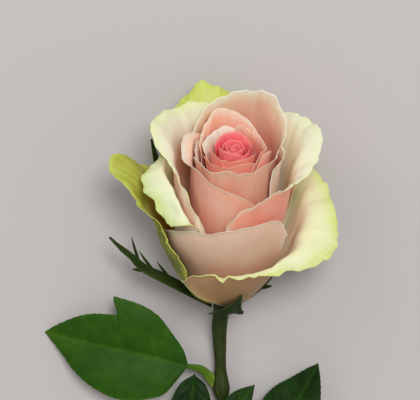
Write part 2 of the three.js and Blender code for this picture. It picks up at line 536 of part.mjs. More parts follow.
// The rose is set down so that it rests on z = 0, with the origin in the middle of its footprint.
rose.updateMatrixWorld(true);
const box = new THREE.Box3();
rose.traverse((mesh) => {
  if (mesh.isMesh) box.expandByObject(mesh, true);
});
rose.position.set(-(box.min.x + box.max.x) / 2, -(box.min.y + box.max.y) / 2, -box.min.z);

export default rose;
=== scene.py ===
import math

import bmesh
import bpy
import numpy as np
from mathutils import Matrix, Vector, noise


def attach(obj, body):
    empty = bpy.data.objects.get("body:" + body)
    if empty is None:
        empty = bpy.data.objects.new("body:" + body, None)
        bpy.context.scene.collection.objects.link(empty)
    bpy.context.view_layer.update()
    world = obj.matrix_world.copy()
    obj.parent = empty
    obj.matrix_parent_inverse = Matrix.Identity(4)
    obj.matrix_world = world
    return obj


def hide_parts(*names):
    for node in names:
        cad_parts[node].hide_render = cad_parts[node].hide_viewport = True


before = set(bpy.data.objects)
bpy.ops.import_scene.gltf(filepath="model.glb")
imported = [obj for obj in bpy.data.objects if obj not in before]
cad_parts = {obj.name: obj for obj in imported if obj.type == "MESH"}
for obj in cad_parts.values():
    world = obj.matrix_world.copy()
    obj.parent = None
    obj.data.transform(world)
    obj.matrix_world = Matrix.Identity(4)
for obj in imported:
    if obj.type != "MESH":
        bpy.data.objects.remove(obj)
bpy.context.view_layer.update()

bl_info = {
    "name": "Cut Rose",
    "version": (1, 0, 0),
    "blender": (4, 5, 0),
    "location": "View3D > Sidebar > Rose",
    "description": "Builds a cut rose lying on its side: petals, sepals, stem, leaves and stage",
    "category": "Add Mesh",
}

MM = 0.001
HEAD_TILT = 24.0  # degrees that the bloom's axis rises above the floor
HEAD_TURN = -3.0  # degrees that the bloom is turned about the upright
HIP_HEIGHT = 13.9  # height of the top of the hip, millimetres
RESTING = 0.35  # least height of a thin piece's middle surface above the floor, millimetres
SET_DOWN = np.array([14.597, 63.953, -0.073])  # brings the middle of the footprint to the origin
HIP = SET_DOWN + [0, 0, HIP_HEIGHT]

# ------------------------------------------------------------------ the bloom's shape

CUP_HEIGHT = 45.0  # height at which a petal reaches its belly radius, millimetres
CUP_POWER = 0.45  # how quickly it widens to that: the lower, the fuller its foot
PETAL_FOOT = 1.2  # height at which the petals start, millimetres
THROAT_AT = 0.7  # share of a petal's length at its throat
ROLL_AT = 0.9  # share of its length at which its rim starts to roll
MIDDLE_AT = 0.55  # share of its length at the second of its three tones
WHOLE_WIDTH_AT = 26.0  # height at which it has its whole width, millimetres
RIB_SOFTENING = 0.09  # share of a rib's length over which it is softened
WIDE_SPAN = 160  # degrees that a wide petal spans

# The seed of the first piece of each kind; the others count on from it.
SEPAL_SEED = 31
LEAFLET_SEED = 51
STALK_SEED = 71

# name: (belly radius, azimuth of the middle, share of its width at the foot, ribs). A rib is
# [azimuth, throat radius, throat height, rim radius, rim height], in degrees and millimetres.
PETALS = {
    "back_inner_petal": (7.4, 181, 0.3, [
        [112, 7, 60, 7.4, 70.6], [135, 7.1, 63, 7.4, 72.6], [160, 7.1, 64, 7.6, 73.8],
        [185, 7.1, 64, 7.6, 74.2], [209, 7.1, 63, 7.6, 73.6], [235, 7, 62, 7.4, 72],
        [250, 7, 60, 7.2, 71]]),
    "front_inner_petal": (8.5, -6, 0.3, [
        [-90, 8.1, 58, 8.3, 70.6], [-66, 8.1, 60, 8.5, 71.6], [-45, 8.1, 60, 8.6, 71.4],
        [-19, 8.1, 60, 8.7, 70.8], [12, 8.1, 60, 8.7, 71.4], [40, 8.1, 60, 8.6, 71.8],
        [62, 8.1, 59, 8.5, 71.6],
        [78, 8.1, 58, 8.3, 70.8]]),
    "left_inner_petal": (9.7, -129, 0.3, [
        [-182, 9.3, 60, 9.6, 73.6], [-163, 9.3, 62, 9.9, 75.6], [-146, 9.3, 63, 10, 74.8],
        [-125, 9.3, 63, 10.2, 73.6], [-108, 9.3, 62, 10.9, 72.6], [-92, 9.3, 60, 11.2, 71.6],
        [-76, 9.2, 57, 9.8, 68]]),
    "front_fold_petal": (10.7, -1, 0.3, [
        [-68, 10.4, 58, 11.3, 70.6], [-50, 10.3, 58, 11, 69.4], [-28, 10.3, 58, 10.8, 69],
        [-5, 10.3, 58, 10.7, 69.6], [18, 10.3, 58, 10.6, 71], [36, 10.3, 58, 10.6, 71],
        [54, 10.3, 56, 10.5, 69], [66, 10.3, 54, 10.4, 67]]),
    "right_inner_petal": (11.8, 106, 0.3, [
        [28, 11.5, 54, 11.9, 66], [42, 11.5, 58, 12, 70.4], [56, 11.5, 60, 12, 74],
        [75, 11.5, 61, 12.1, 73.6],
        [95, 11.4, 61, 11.9, 72.6], [116, 11.1, 61, 11.4, 73], [132, 11, 61, 11.2, 73.4],
        [152, 10.9, 62, 11.1, 74.8], [170, 10.9, 62, 11.1, 75], [184, 10.9, 60, 11, 72.6]]),
    "tent_petal": (12.7, 190, 0.3, [
        [110, 12.3, 54, 12.8, 66], [125, 12.2, 58, 12.9, 70.6], [139, 12.1, 62, 12.9, 73.2],
        [152, 12.1, 65, 13, 75.6], [168, 12.1, 67, 13, 78.6], [188, 12.1, 68, 13, 80.8],
        [204, 12, 69, 13, 82],
        [217, 12, 69, 13, 81.6], [230, 12, 68, 13, 78.6], [242, 12, 66, 13, 76.4],
        [255, 11.9, 62, 12.8, 72.6],
        [268, 11.9, 58, 12.6, 70]]),
    "right_nest_petal": (13.7, 68, 0.3, [
        [22, 13.5, 54, 13.7, 65], [38, 13.5, 58, 13.8, 70], [50, 13.5, 61, 13.9, 74.4],
        [66, 13.5, 61, 13.9, 74.2], [84, 13.5, 60, 13.9, 71.6], [104, 13.5, 56, 13.7, 66]]),
    "left_notch_petal": (13.9, -82, 0.3, [
        [-150, 13.1, 58, 13.6, 69], [-130, 13, 60, 13.8, 70.4], [-108, 13, 61, 14, 71],
        [-84, 13, 60, 14.2, 70],
        [-60, 13.2, 58, 14.2, 68], [-36, 13.4, 56, 14, 66]]),
    "front_cup_petal": (15.2, 7, 0.3, [
        [-68, 14.5, 58, 15.3, 70.4], [-57, 14.7, 59, 15.8, 71.2], [-44, 14.9, 60, 16, 70.2],
        [-26, 15.2, 60, 16.2, 70], [-3, 15.3, 61, 16.4, 71.2], [18, 15.4, 61, 16.4, 69.8],
        [38, 15.4, 61.6, 16.6, 71.6], [60, 15.5, 61.6, 16.8, 72], [80, 15.6, 61, 17, 74]]),
    "left_fold_petal": (17, -50, 0.3, [
        [34, 17, 44, 17.4, 54.5], [20, 17.1, 50, 17.6, 59.4], [6, 17.2, 53, 17.8, 61.9],
        [-10, 17.3, 55, 17.9, 63.8], [-26, 17.2, 57, 17.9, 65.6], [-42, 16.9, 59, 18, 68.2],
        [-58, 16.3, 62, 18.6, 68.8], [-74, 15.8, 66, 19.2, 69], [-92, 15.4, 70, 19.4, 72.4],
        [-112, 15.3, 70.6, 18.6, 73], [-132, 15.3, 68, 17, 70.6], [-148, 15.4, 64, 16.4, 68]]),
    "back_cup_petal": (18.3, 148, 0.3, [
        [56, 17.9, 56, 18.2, 71], [76, 17.8, 60, 18.2, 72], [98, 17.9, 64, 18.4, 73.2],
        [116, 18.3, 67, 20.6, 78.6], [130, 18.7, 70, 21.4, 82.6], [141, 18.9, 72, 21, 87.2],
        [160, 19, 73, 21.2, 85.4], [182, 19, 72, 21, 83.6], [203, 18.9, 70, 20.6, 81],
        [223, 18.4, 64, 19.4, 75], [240, 18.1, 58, 18.6, 69.6]]),
    "right_wrap_petal": (20.2, 77, 0.35, [
        [-4, 20.4, 40, 21, 49], [18, 20.8, 49, 21.5, 58.6], [40, 21.2, 53.6, 22.2, 61.6],
        [60, 21.6, 55, 24, 62.4], [76, 22, 56, 27.6, 64.4], [89, 22.2, 58, 31.6, 69],
        [99, 22.6, 60, 33.4, 76.6], [113, 23, 62, 31.6, 78.2], [128, 23.2, 62, 28.4, 78.6],
        [146, 23, 62, 25.8, 76.4], [158, 22.8, 60, 24.4, 72]]),
    "left_wrap_petal": (21, -95, 0.35, [
        [-20, 21.3, 38, 21.7, 45], [-38, 21.4, 47, 21.8, 54.4], [-56, 21.4, 55, 22.1, 61],
        [-71, 21.6, 61, 24.2, 67.4], [-79, 21.9, 64, 28.4, 74.6], [-87, 22.1, 65.4, 30.4, 80.8],
        [-108, 22.4, 66, 28.4, 80.4], [-131, 22.3, 65, 26.4, 79.4], [-154, 22, 63, 25.2, 77],
        [-170, 21.8, 60, 24.2, 72.6]]),
    "back_wrap_petal": (22.4, 178, 0.35, [
        [118, 24, 46, 25.4, 58], [146, 24.4, 55, 27.4, 67], [178, 24.5, 60, 28.6, 73],
        [206, 24.4, 56, 27.8, 68], [232, 24, 48, 25.4, 60]]),
    "front_apron_petal": (24.2, -8, 0.4, [
        [-80, 23.4, 28, 25, 36], [-63, 24.2, 33, 25.3, 41], [-47, 24.4, 36.6, 25.1, 44.6],
        [-32, 24.4, 39, 25, 46.9], [-15, 24.2, 41, 24.9, 48.9], [4, 24.2, 42.4, 24.9, 51.2],
        [24, 24.2, 43.4, 24.9, 52.2], [42, 24, 43, 24.8, 51.8], [53, 23.8, 40, 24.5, 48.4],
        [62, 23.6, 34, 24.3, 41]]),
    "left_cape_petal": (23, -66, 0.4, [
        [-24, 20.6, 33, 21.2, 39], [-34, 22.3, 42, 23.5, 48.6], [-42, 22.9, 48.6, 25.9, 48],
        [-50, 23.1, 52, 27.6, 46.6], [-58, 23.4, 55, 29.8, 47.6], [-66, 23.7, 57, 32.2, 51.6],
        [-74, 24.2, 59, 34, 55.4], [-82, 24.7, 60.6, 33.4, 58.6], [-90, 25.2, 61.2, 30.8, 61.4],
        [-98, 25.8, 61, 28.6, 62.4], [-106, 26.2, 58, 27.8, 60.4]]),
    "back_right_petal": (25.2, 138, 0.4, [
        [106, 24.8, 40, 25.6, 50], [120, 25.6, 50, 28.4, 61], [136, 26, 54, 30.4, 66],
        [152, 25.8, 50, 28.6, 61], [170, 25.6, 42, 26.6, 51]]),
    "back_left_petal": (26.4, -150, 0.4, [
        [-202, 27.2, 40, 28, 50], [-180, 27.4, 48, 28.8, 60], [-156, 27.4, 52, 29.2, 65],
        [-132, 27.2, 48, 29, 60], [-112, 26.8, 40, 27.6, 50]]),
    "right_skirt_petal": (27, 44, 0.5, [
        [-42, 24.8, 18, 25.6, 23], [-30, 25, 22.6, 26.6, 27], [-14, 25.2, 27, 26.9, 30],
        [4, 25.4, 28.6, 27.4, 30], [24, 25.4, 30, 27.8, 31.4], [42, 25.6, 31, 29.8, 32],
        [54, 26, 32, 33, 31.4],
        [64, 26.6, 33.4, 36.6, 31.2], [73, 27, 35, 40.6, 33], [80, 27.4, 37, 43.4, 34.8],
        [87, 27.6, 39, 41.2, 42], [96, 27.6, 41.6, 38.6, 49.6], [108, 27.6, 43, 35.6, 55.4],
        [122, 27.4, 41, 32, 56]]),
    "left_guard_petal": (31.6, -78, 0.5, [
        [-35, 26.2, 24, 26.6, 29.6], [-46, 26.4, 29.6, 26.8, 34.6], [-58, 26.8, 33, 27.2, 38.4],
        [-68, 27.8, 35, 28.8, 42], [-76, 29, 37, 34, 49], [-83, 30, 39.4, 41.6, 57.4],
        [-89, 30.6, 42, 46.6, 62], [-97, 30.6, 44, 42.4, 62], [-107, 30.2, 44, 39, 56],
        [-117, 29.8, 40, 34.4, 49]]),
    "right_guard_petal": (29, 138, 0.5, [
        [104, 28.8, 30, 31.6, 38], [121, 29.2, 36, 36, 48], [138, 29.4, 38, 37.6, 52],
        [153, 29.2, 36, 34, 47],
        [165, 28.6, 30, 30, 37]]),
    "back_guard_petal": (30.6, -163, 0.5, [
        [-124, 30.4, 38, 33, 53], [-136, 30.6, 46, 35.4, 70.6], [-144, 30.6, 50, 36, 74.2],
        [-151, 30.6, 53, 36.2, 75.8], [-157, 30.6, 56, 36.8, 81.6], [-167, 30.6, 56, 36.6, 79.2],
        [-178, 30.6, 54, 36.2, 76], [-188, 30.6, 50, 35.2, 71], [-198, 30.4, 42, 32.4, 58]]),
}
# The core petals wind about the axis, from the inside out.
CORE_COUNT = 7
CORE_TURN = 137.5  # degrees from one to the next
CORE_FIRST_RADIUS = 1.4
CORE_LAST_RADIUS = 6
CORE_SPAN = 92  # degrees to each side of the middle
CORE_THROAT = 54
CORE_FIRST_HEIGHT = 72
CORE_LAST_HEIGHT = 72.6
CORE_DRIFT = 0.3  # how much nearer the axis one side is than the middle
for k in range(CORE_COUNT):
    t = k / (CORE_COUNT - 1)
    core_radius = CORE_FIRST_RADIUS + (CORE_LAST_RADIUS - CORE_FIRST_RADIUS) * t
    core_top = CORE_FIRST_HEIGHT + (CORE_LAST_HEIGHT - CORE_FIRST_HEIGHT) * t
    PETALS["core_petal_%d" % (k + 1)] = (core_radius * 1.05, k * CORE_TURN, 0.4, [
        [k * CORE_TURN + s * CORE_SPAN, core_radius - CORE_DRIFT * s, CORE_THROAT,
         core_radius - CORE_DRIFT * s, core_top - 3 * s * s]
        for s in (-1, -0.5, 0, 0.5, 1)])

# How each petal is coloured and finished. Tone runs from 0, hot pink, through salmon, peach and cream
# to 1, leaf green: outside at the foot, middle and rim, inside at the foot, middle and rim, and the
# margins. Then the roll of the rim, the size of its waves and the seed of its waves.
LOOKS = {
    "core": ((0.3, 0.05, 0.06), (0.3, 0.0, 0.03), 0.12, 0.15, 0.2, 1),
    "back_inner_petal": ((0.4, 0.1, 0.12), (0.4, 0.0, 0.05), 0.16, 0.3, 0.3, 2),
    "front_inner_petal": ((0.4, 0.14, 0.2), (0.3, 0.02, 0.1), 0.3, 0.5, 0.5, 3),
    "left_inner_petal": ((0.4, 0.5, 0.6), (0.3, 0.24, 0.58), 0.6, 0.6, 0.6, 4),
    "front_fold_petal": ((0.4, 0.16, 0.22), (0.3, 0.03, 0.14), 0.36, 0.6, 0.5, 5),
    "right_inner_petal": ((0.4, 0.2, 0.26), (0.3, 0.06, 0.26), 0.42, 0.5, 0.6, 6),
    "right_nest_petal": ((0.4, 0.2, 0.26), (0.3, 0.1, 0.26), 0.42, 0.5, 0.6, 23),
    "tent_petal": ((0.5, 0.3, 0.4), (0.3, 0.12, 0.32), 0.52, 0.5, 0.6, 7),
    "left_notch_petal": ((0.4, 0.5, 0.58), (0.4, 0.2, 0.4), 0.6, 0.6, 0.7, 8),
    "front_cup_petal": ((0.34, 0.26, 0.38), (0.3, 0.2, 0.4), 0.5, 0.6, 0.8, 9),
    "left_fold_petal": ((0.3, 0.27, 0.32), (0.3, 0.3, 0.45), 0.5, 0.6, 0.5, 10),
    "back_cup_petal": ((0.5, 0.4, 0.5), (0.16, 0.26, 0.5), 0.62, 0.9, 1.2, 11),
    "right_wrap_petal": ((0.26, 0.2, 0.3), (0.36, 0.56, 0.66), 0.78, 0.7, 1.5, 12),
    "left_wrap_petal": ((0.55, 0.4, 0.5), (0.2, 0.42, 0.7), 0.84, 0.7, 1.5, 13),
    "back_wrap_petal": ((0.6, 0.5, 0.6), (0.4, 0.5, 0.66), 0.76, 0.8, 0.9, 14),
    "left_cape_petal": ((0.66, 0.55, 0.6), (0.5, 0.62, 0.74), 0.87, 0.5, 1.9, 15),
    "front_apron_petal": ((0.5, 0.42, 0.5), (0.5, 0.5, 0.6), 0.66, 0.8, 0.7, 16),
    "back_right_petal": ((0.7, 0.6, 0.66), (0.5, 0.6, 0.72), 0.8, 0.9, 1.0, 17),
    "back_left_petal": ((0.7, 0.6, 0.66), (0.5, 0.6, 0.72), 0.8, 0.9, 1.0, 18),
    "right_skirt_petal": ((0.8, 0.6, 0.62), (0.6, 0.66, 0.76), 0.88, 0.6, 2.0, 31),
    "left_guard_petal": ((0.92, 0.97, 0.98), (0.9, 0.94, 0.93), 0.9, 0.7, 2.2, 20),
    "right_guard_petal": ((0.82, 0.84, 0.88), (0.6, 0.78, 0.84), 0.9, 0.9, 1.5, 21),
    "back_guard_petal": ((0.82, 0.84, 0.88), (0.6, 0.8, 0.86), 0.91, 0.7, 1.8, 22),
}

# Painted shade, with some of the dull brown of a petal's outer foot, in how far each petal is browned:
# outer face at the foot and at the rim, inner face at the foot and at the rim.
PAINTED_SHADE_BY_PETAL = {
    "front_cup_petal": (0.2, 0.3, 0, 0),
    "left_fold_petal": (0.1, 0.05, 0, 0),
    "right_wrap_petal": (0.2, 0.15, 0, 0),
    "back_cup_petal": (0.2, 0.2, 0, 0.42),
    "back_wrap_petal": (0.2, 0.2, 0, 0.3),
    "front_apron_petal": (0.5, 0.33, 0, 0),
    "right_skirt_petal": (1.0, 0.85, 0, 0),
    "left_cape_petal": (0.5, 0.1, 0, 0),
    "left_guard_petal": (0.6, 0.35, 0.4, 0.2),
    "right_guard_petal": (0.6, 0.3, 0.3, 0),
    "back_guard_petal": (0.6, 0.3, 0.7, 0),
    "back_left_petal": (0.5, 0.2, 0, 0),
    "back_right_petal": (0.5, 0.2, 0, 0),
}


# ------------------------------------------------------------------ sepals, stem and leaves: their shapes

# name: (lift of the two halves, rows of [azimuth, radius, height, width left, width right]).
SEPALS = {
    "sepal_1": (11, [[2, 5.4, -1.4, 4.4, 3.6], [3, 7.2, -0.9, 6.4, 5.8], [4, 9.4, 0.6, 7, 7],
        [8, 12.4, 3.6, 6.2, 6.8], [13, 14.9, 7.2, 3.6, 4.6], [17, 17, 11.4, 1.5, 1.8],
        [19, 18.9, 16, 0.3, 0.3]]),
    "sepal_2": (14, [[-78, 5.6, -0.6, 2.6, 2.6], [-85, 14.2, 4.8, 4, 4], [-90, 24.4, 9.6, 4.6, 4],
        [-92, 33, 13.6, 4.2, 3.2], [-94, 38.4, 18, 3, 2.4], [-96, 43.4, 21, 1.8, 1.6],
        [-97, 47, 24.2, 0.3, 0.3]]),
    "sepal_3": (10, [[-136, 5.6, -0.6, 2.6, 2.6], [-136, 12.4, 4.2, 4, 4], [-134, 23, 16, 4, 4],
        [-132, 31.4, 31, 3, 3], [-131, 36, 40.5, 2.2, 2.2], [-130, 39.6, 50, 1.5, 1.5],
        [-129, 41.4, 58, 0.3, 0.3]]),
    "sepal_4": (12, [[108, 5.6, -0.6, 2.6, 2.6], [110, 11.2, 3.4, 3, 3.4], [112, 17.2, 8, 2.8, 3.2],
        [114, 22.4, 14.6, 2.4, 2.4], [115, 25.8, 21.6, 1.8, 1.8], [116, 28, 28, 0.3, 0.3]]),
    "sepal_5": (8, [[170, 5.6, -0.6, 2.8, 2.8], [176, 11.4, 3.8, 3.8, 3.8], [181, 16.8, 9, 4, 4],
        [183, 21.8, 16.5, 3.6, 3.6], [184, 26, 25, 3, 3], [184, 29.8, 34, 2, 2], [184, 32, 42, 0.3, 0.3]]),
}
# Side lobes of the sepals: where each leaves its sepal, on which side, its length and how it leans.
SEPAL_LOBES = {
    "sepal_2": [(0.30, 1, 9, 0.75), (0.42, 1, 10.5, 0.7), (0.56, 1, 11.5, 0.6), (0.5, -1, 6, 0.6)],
    "sepal_3": [(0.4, 1, 7, 0.7), (0.6, -1, 8, 0.6)],
    "sepal_4": [(0.3, 1, 6, 0.6), (0.5, -1, 7, 0.6)],
}

# The stem's centre line below the bloom with its radius: [x, y, z, radius]. The bloom's hip sits on top.
HIP_ROWS = [[0.2, 0, 4.3], [-1.4, -0.3, 4.25], [-3.4, -0.8, 3.7], [-6, -1.2, 3.25]]
STEM_ROWS = [
    [-2, -12, 9, 3.1], [-1.9, -20, 6.9, 2.65], [-1.6, -29, 5.6, 2.3], [-1.3, -37.4, 5.1, 3.4],
    [-0.6, -43, 4.4, 2.2], [0.6, -52, 4.1, 2.3], [1.4, -59, 4, 2.8], [2.6, -68, 3.6, 2.35],
    [4.6, -90, 3.2, 2.4], [6, -108, 3.2, 2.9], [6.8, -120, 3, 2.5], [7.2, -150, 3, 2.6],
    [6, -180, 3.1, 2.8], [4.4, -205, 3.3, 3], [4, -214, 3.3, 3.3],
]

# name: (half width, direction its upper side faces, midrib from base to tip).
LEAFLETS = {
    "leaf_a_lateral": (8.4, (0, -0.1, 1), [
        [-12.2, -31.2, 8.2], [-13.4, -42, 9.4], [-15.2, -54, 7], [-18.2, -66, 0.7]]),
    "leaf_b_terminal": (12, (-0.3, 0.1, 1), [
        [17, -61, 8], [24, -50, 10.4], [31.6, -38, 10.4], [37.6, -25.6, 12.6]]),
    "leaf_b_lateral_1": (7.6, (0, 0, 1), [
        [8.6, -57.6, 8.6], [6, -50, 8.6], [6.4, -42.6, 8.4], [12, -36.2, 6]]),
    "leaf_b_lateral_2": (10.4, (0.2, 0, 1), [
        [13.2, -63.6, 7.4], [19, -72, 8.8], [25.6, -79.6, 6.8], [33.6, -86, 0.7]]),
    "leaf_c_terminal": (13, (0, 0, 1), [
        [-38.4, -148.4, 7.4], [-48, -158, 9], [-58, -167.6, 7], [-69, -178, 0.5]]),
    "leaf_c_lateral_1": (10.8, (0, 0, 1), [
        [-34.6, -141.6, 7.4], [-45, -137.4, 9], [-55, -133, 6.6], [-65.4, -128.4, 0.5]]),
    "leaf_c_lateral_2": (10.8, (0, 0, 1), [
        [-28.8, -147.4, 7.4], [-27, -158, 9], [-25, -169, 6.6], [-22, -181, 0.5]]),
    "leaf_c_lateral_3": (9, (0, 0, 1), [
        [-18.6, -126.4, 6.4], [-27.6, -121.4, 7.8], [-36, -116.6, 6], [-44.6, -111.6, 0.5]]),
    "leaf_c_lateral_4": (9, (0, 0, 1), [
        [-14, -131.6, 6.4], [-10.4, -140.6, 7.8], [-7.4, -149.6, 6], [-4.6, -159.4, 0.5]]),
}
PRICKLE_ROOT = 0.88  # share of the stem's radius at which a prickle starts
CUT_SLANT = 0.9  # how far the stem's cut leans for each unit of height
CUT_DEPTH = 0.0003  # metres of the stem's end that the cut takes in
HAIR_TONE = 0.7
SEPAL_ROWS, SEPAL_COLUMNS = 91, 25
ROWS_PER_TOOTH = 8
LEAF_PAINTED_SHADE = 0.3  # painted shade: how much darker the leaflets near the bloom are painted
UV_WIDTH, UV_LENGTH = 22, 44  # millimetres of a leaflet to one unit of uv
TOOTH_POINT = 0.78  # share of a tooth's length at which its point stands
OUTLINE = [0.02, 0.55, 0.86, 0.99, 0.97, 0.82, 0.56, 0.27, 0.02]  # half width along a leaflet

# The big leaflet has a second, pointed lobe grown into its upper edge.
LOBED_MIDRIB = [
    [-14.8, -27.2, 9.4], [-20.4, -25.6, 9.8], [-27, -24, 9.8], [-33.6, -22.4, 10], [-40, -21, 9.8],
    [-46, -19.8, 9.2], [-52.4, -18.6, 8], [-59.2, -17.4, 6.2], [-66, -16.2, 3.8], [-73, -15.2, 0.5]]
LOBED_LOWER = [0.3, 12.4, 16.6, 18.8, 19.4, 18.4, 15.8, 11.6, 5.8, 0.3]
LOBED_UPPER = [0.3, 6, 10.6, 14.8, 18.4, 20.8, 21.6, 22]  # up to the point of the lobe
LOBE_AT = 0.515  # share of the midrib at which the lobe ends
LOBE_REACH = 4.6  # how far the point of the lobe is drawn ahead, millimetres
LOBED_BEYOND = [14.6, 13.9, 12.6, 9.8, 5.4, 0.3]  # from there to the tip

# name: rows of [x, y, z, radius, width of the wings], base to tip.
STALKS = {
    "leaf_a_stalk": [[-3.6, -35.6, 5.4, 1.6, 0.8], [-6.6, -31.8, 6.2, 1.25, 0.7],
                     [-9.8, -28.8, 7.4, 1.1, 0.4], [-15, -27.4, 9, 0.9, 0.1]],
    "leaf_b_stalk": [[5.4, -59.4, 5, 1.5, 0.6], [8.6, -60.4, 5.8, 1.2, 1.5], [12, -61.2, 6.6, 1, 0.6],
                     [16, -61.4, 7.2, 0.9, 0.1]],
    "leaf_c_stalk": [[1.6, -110, 4.4, 1.6, 0.6], [-4.8, -117, 4.8, 1.25, 1.6], [-16, -128.4, 5.8, 1.05, 0.2],
                     [-27, -139, 6.6, 0.95, 0.1], [-37.4, -147.6, 7, 0.85, 0.1]],
}


def placed(name, data):
    """An object of the data, linked into the scene."""
    made = bpy.data.objects.new(name, data)
    bpy.context.collection.objects.link(made)
    return made


def paint(mesh, name, values):
    """Give each point of the mesh its own number under the name."""
    layer = mesh.attributes.new(name, "FLOAT", "POINT")
    layer.data.foreach_set("value", np.asarray(values, np.float32))


def shade_smooth(mesh):
    mesh.polygons.foreach_set("use_smooth", np.ones(len(mesh.polygons), dtype=bool))


def smooth(t):
    t = np.clip(t, 0.0, 1.0)
    return t * t * (3.0 - 2.0 * t)


def lerp(a, b, t):
    return a + (b - a) * t


def along(rows, t):
    """Rows of numbers on the smooth curve through `rows`, at each t from 0 to 1."""
    rows = np.asarray(rows, float)
    last = len(rows) - 1
    x = np.clip(np.asarray(t, float), 0.0, 1.0) * last
    i = np.minimum(x.astype(int), last - 1)
    f = (x - i)[..., None]
    a = rows[np.maximum(i - 1, 0)]
    b = rows[i]
    c = rows[i + 1]
    d = rows[np.minimum(i + 2, last)]
    return 0.5 * (2 * b + (c - a) * f + (2 * a - 5 * b + 4 * c - d) * f * f
                  + (3 * b - a - 3 * c + d) * f ** 3)


def bloom_point(azimuth, radius, height):
    a = np.radians(azimuth)
    return np.stack([radius * np.sin(a), radius * np.cos(a), height + 0 * a], -1)


def to_world(points):
    """Millimetre points in the bloom's frame, placed in the world."""
    tilt = math.radians(HEAD_TILT)
    basis = np.array([[1, 0, 0],
                      [0, -math.sin(tilt), math.cos(tilt)],
                      [0, math.cos(tilt), math.sin(tilt)]])
    turn = math.radians(HEAD_TURN)
    spin = np.array([[math.cos(turn), -math.sin(turn), 0], [math.sin(turn), math.cos(turn), 0], [0, 0, 1]])
    return points @ basis @ spin.T + HIP


def noise_of(points, scale, seed):
    """Smooth noise, about -1 to 1, at each millimetre point."""
    flat = np.asarray(points, float).reshape(-1, 3) / scale
    off = Vector((seed * 17.3, seed * 5.1, seed * 9.7))
    values = [noise.noise(Vector(p) + off) for p in flat]
    return np.array(values).reshape(np.shape(points)[:-1])


def cup(belly, height):
    return belly * np.minimum(1.0, np.maximum(height, 0.0) / CUP_HEIGHT) ** CUP_POWER


def rib_profile(belly, throat_radius, throat_height, rim_radius, rim_height, v):
    """Radius and height of a rib at each v, foot to rim."""
    rise = np.minimum(1.0, v / THROAT_AT)
    height = lerp(PETAL_FOOT, throat_height, rise ** 1.35)
    ease = smooth((rise - 0.35) / 0.65)
    radius = cup(belly, height) * lerp(1.0, throat_radius / cup(belly, throat_height), ease)
    t = np.clip((v - THROAT_AT) / (1 - THROAT_AT), 0, 1)
    reach = np.hypot(rim_radius - throat_radius, rim_height - throat_height)
    knee_radius = throat_radius + 0.08 * (rim_radius - throat_radius)
    knee_height = throat_height + 0.55 * reach
    over_radius = (1 - t) ** 2 * throat_radius + 2 * t * (1 - t) * knee_radius + t * t * rim_radius
    over_height = (1 - t) ** 2 * throat_height + 2 * t * (1 - t) * knee_height + t * t * rim_height
    above = v > THROAT_AT
    return np.where(above, over_radius, radius), np.where(above, over_height, height)


def petal_surface(petal, u, v, roll, waves, seed):
    """The middle surface of a petal at each u, across, and v, foot to rim."""
    belly, middle, foot_share, ribs = petal
    azimuth, throat_radius, throat_height, rim_radius, rim_height = np.moveaxis(along(ribs, u), -1, 0)
    # The margin runs unevenly, with small nicks.
    edge = np.stack([azimuth * 0.25, 0 * azimuth + seed * 3.0, 0 * azimuth], -1)
    nicks = smooth(waves - 0.8)
    uneven = 0
    for size, scale, more in ((1.3, 3.2, 0), (0.35 + 0.5 * nicks, 1.1, 50), (0.15 + 0.25 * nicks, 0.4, 60)):
        uneven = uneven + size * noise_of(edge, scale, seed + more)
    rim_height = rim_height + waves * 0.9 * uneven
    # The rib is softened along its length, so that the throat shows no crease.
    spread = np.minimum(RIB_SOFTENING, np.minimum(v, 1 - v))
    radius = 0 * v
    height = 0 * v
    for share in (-1, -0.5, 0, 0.5, 1):
        r, h = rib_profile(belly, throat_radius, throat_height, rim_radius, rim_height, v + share * spread)
        radius = radius + r / 5
        height = height + h / 5
    fan = lerp(foot_share, 1.0, smooth(height / WHOLE_WIDTH_AT))
    turned = middle + (azimuth - middle) * fan
    # The last of the rim rolls out and over.
    curl = np.clip((v - ROLL_AT) / (1 - ROLL_AT), 0, 1) ** 2
    radius = radius + roll * curl
    height = height - 0.35 * roll * curl * np.clip((v - 0.95) / 0.05, 0, 1)
    points = bloom_point(turned, radius, height)
    # Soft waves that grow towards the rim, with a finer crumple at the very edge.
    strength = waves * smooth((v - 0.35) / 0.65)
    fine = waves * smooth((v - 0.8) / 0.2)
    wave, smaller, crumple = (
        size * noise_of(np.stack([turned * 0.3, height * rise, 0 * height], -1), scale, seed + more)
        for size, rise, scale, more in ((0.8, 0.35, 4.2, 7), (0.35, 0.2, 1.7, 9), (0.5, 0.3, 0.8, 11)))
    out = bloom_point(turned, 1.0 + 0 * radius, 0 * height)
    return points + out * (strength * (wave + smaller) + fine * crumple)[..., None]


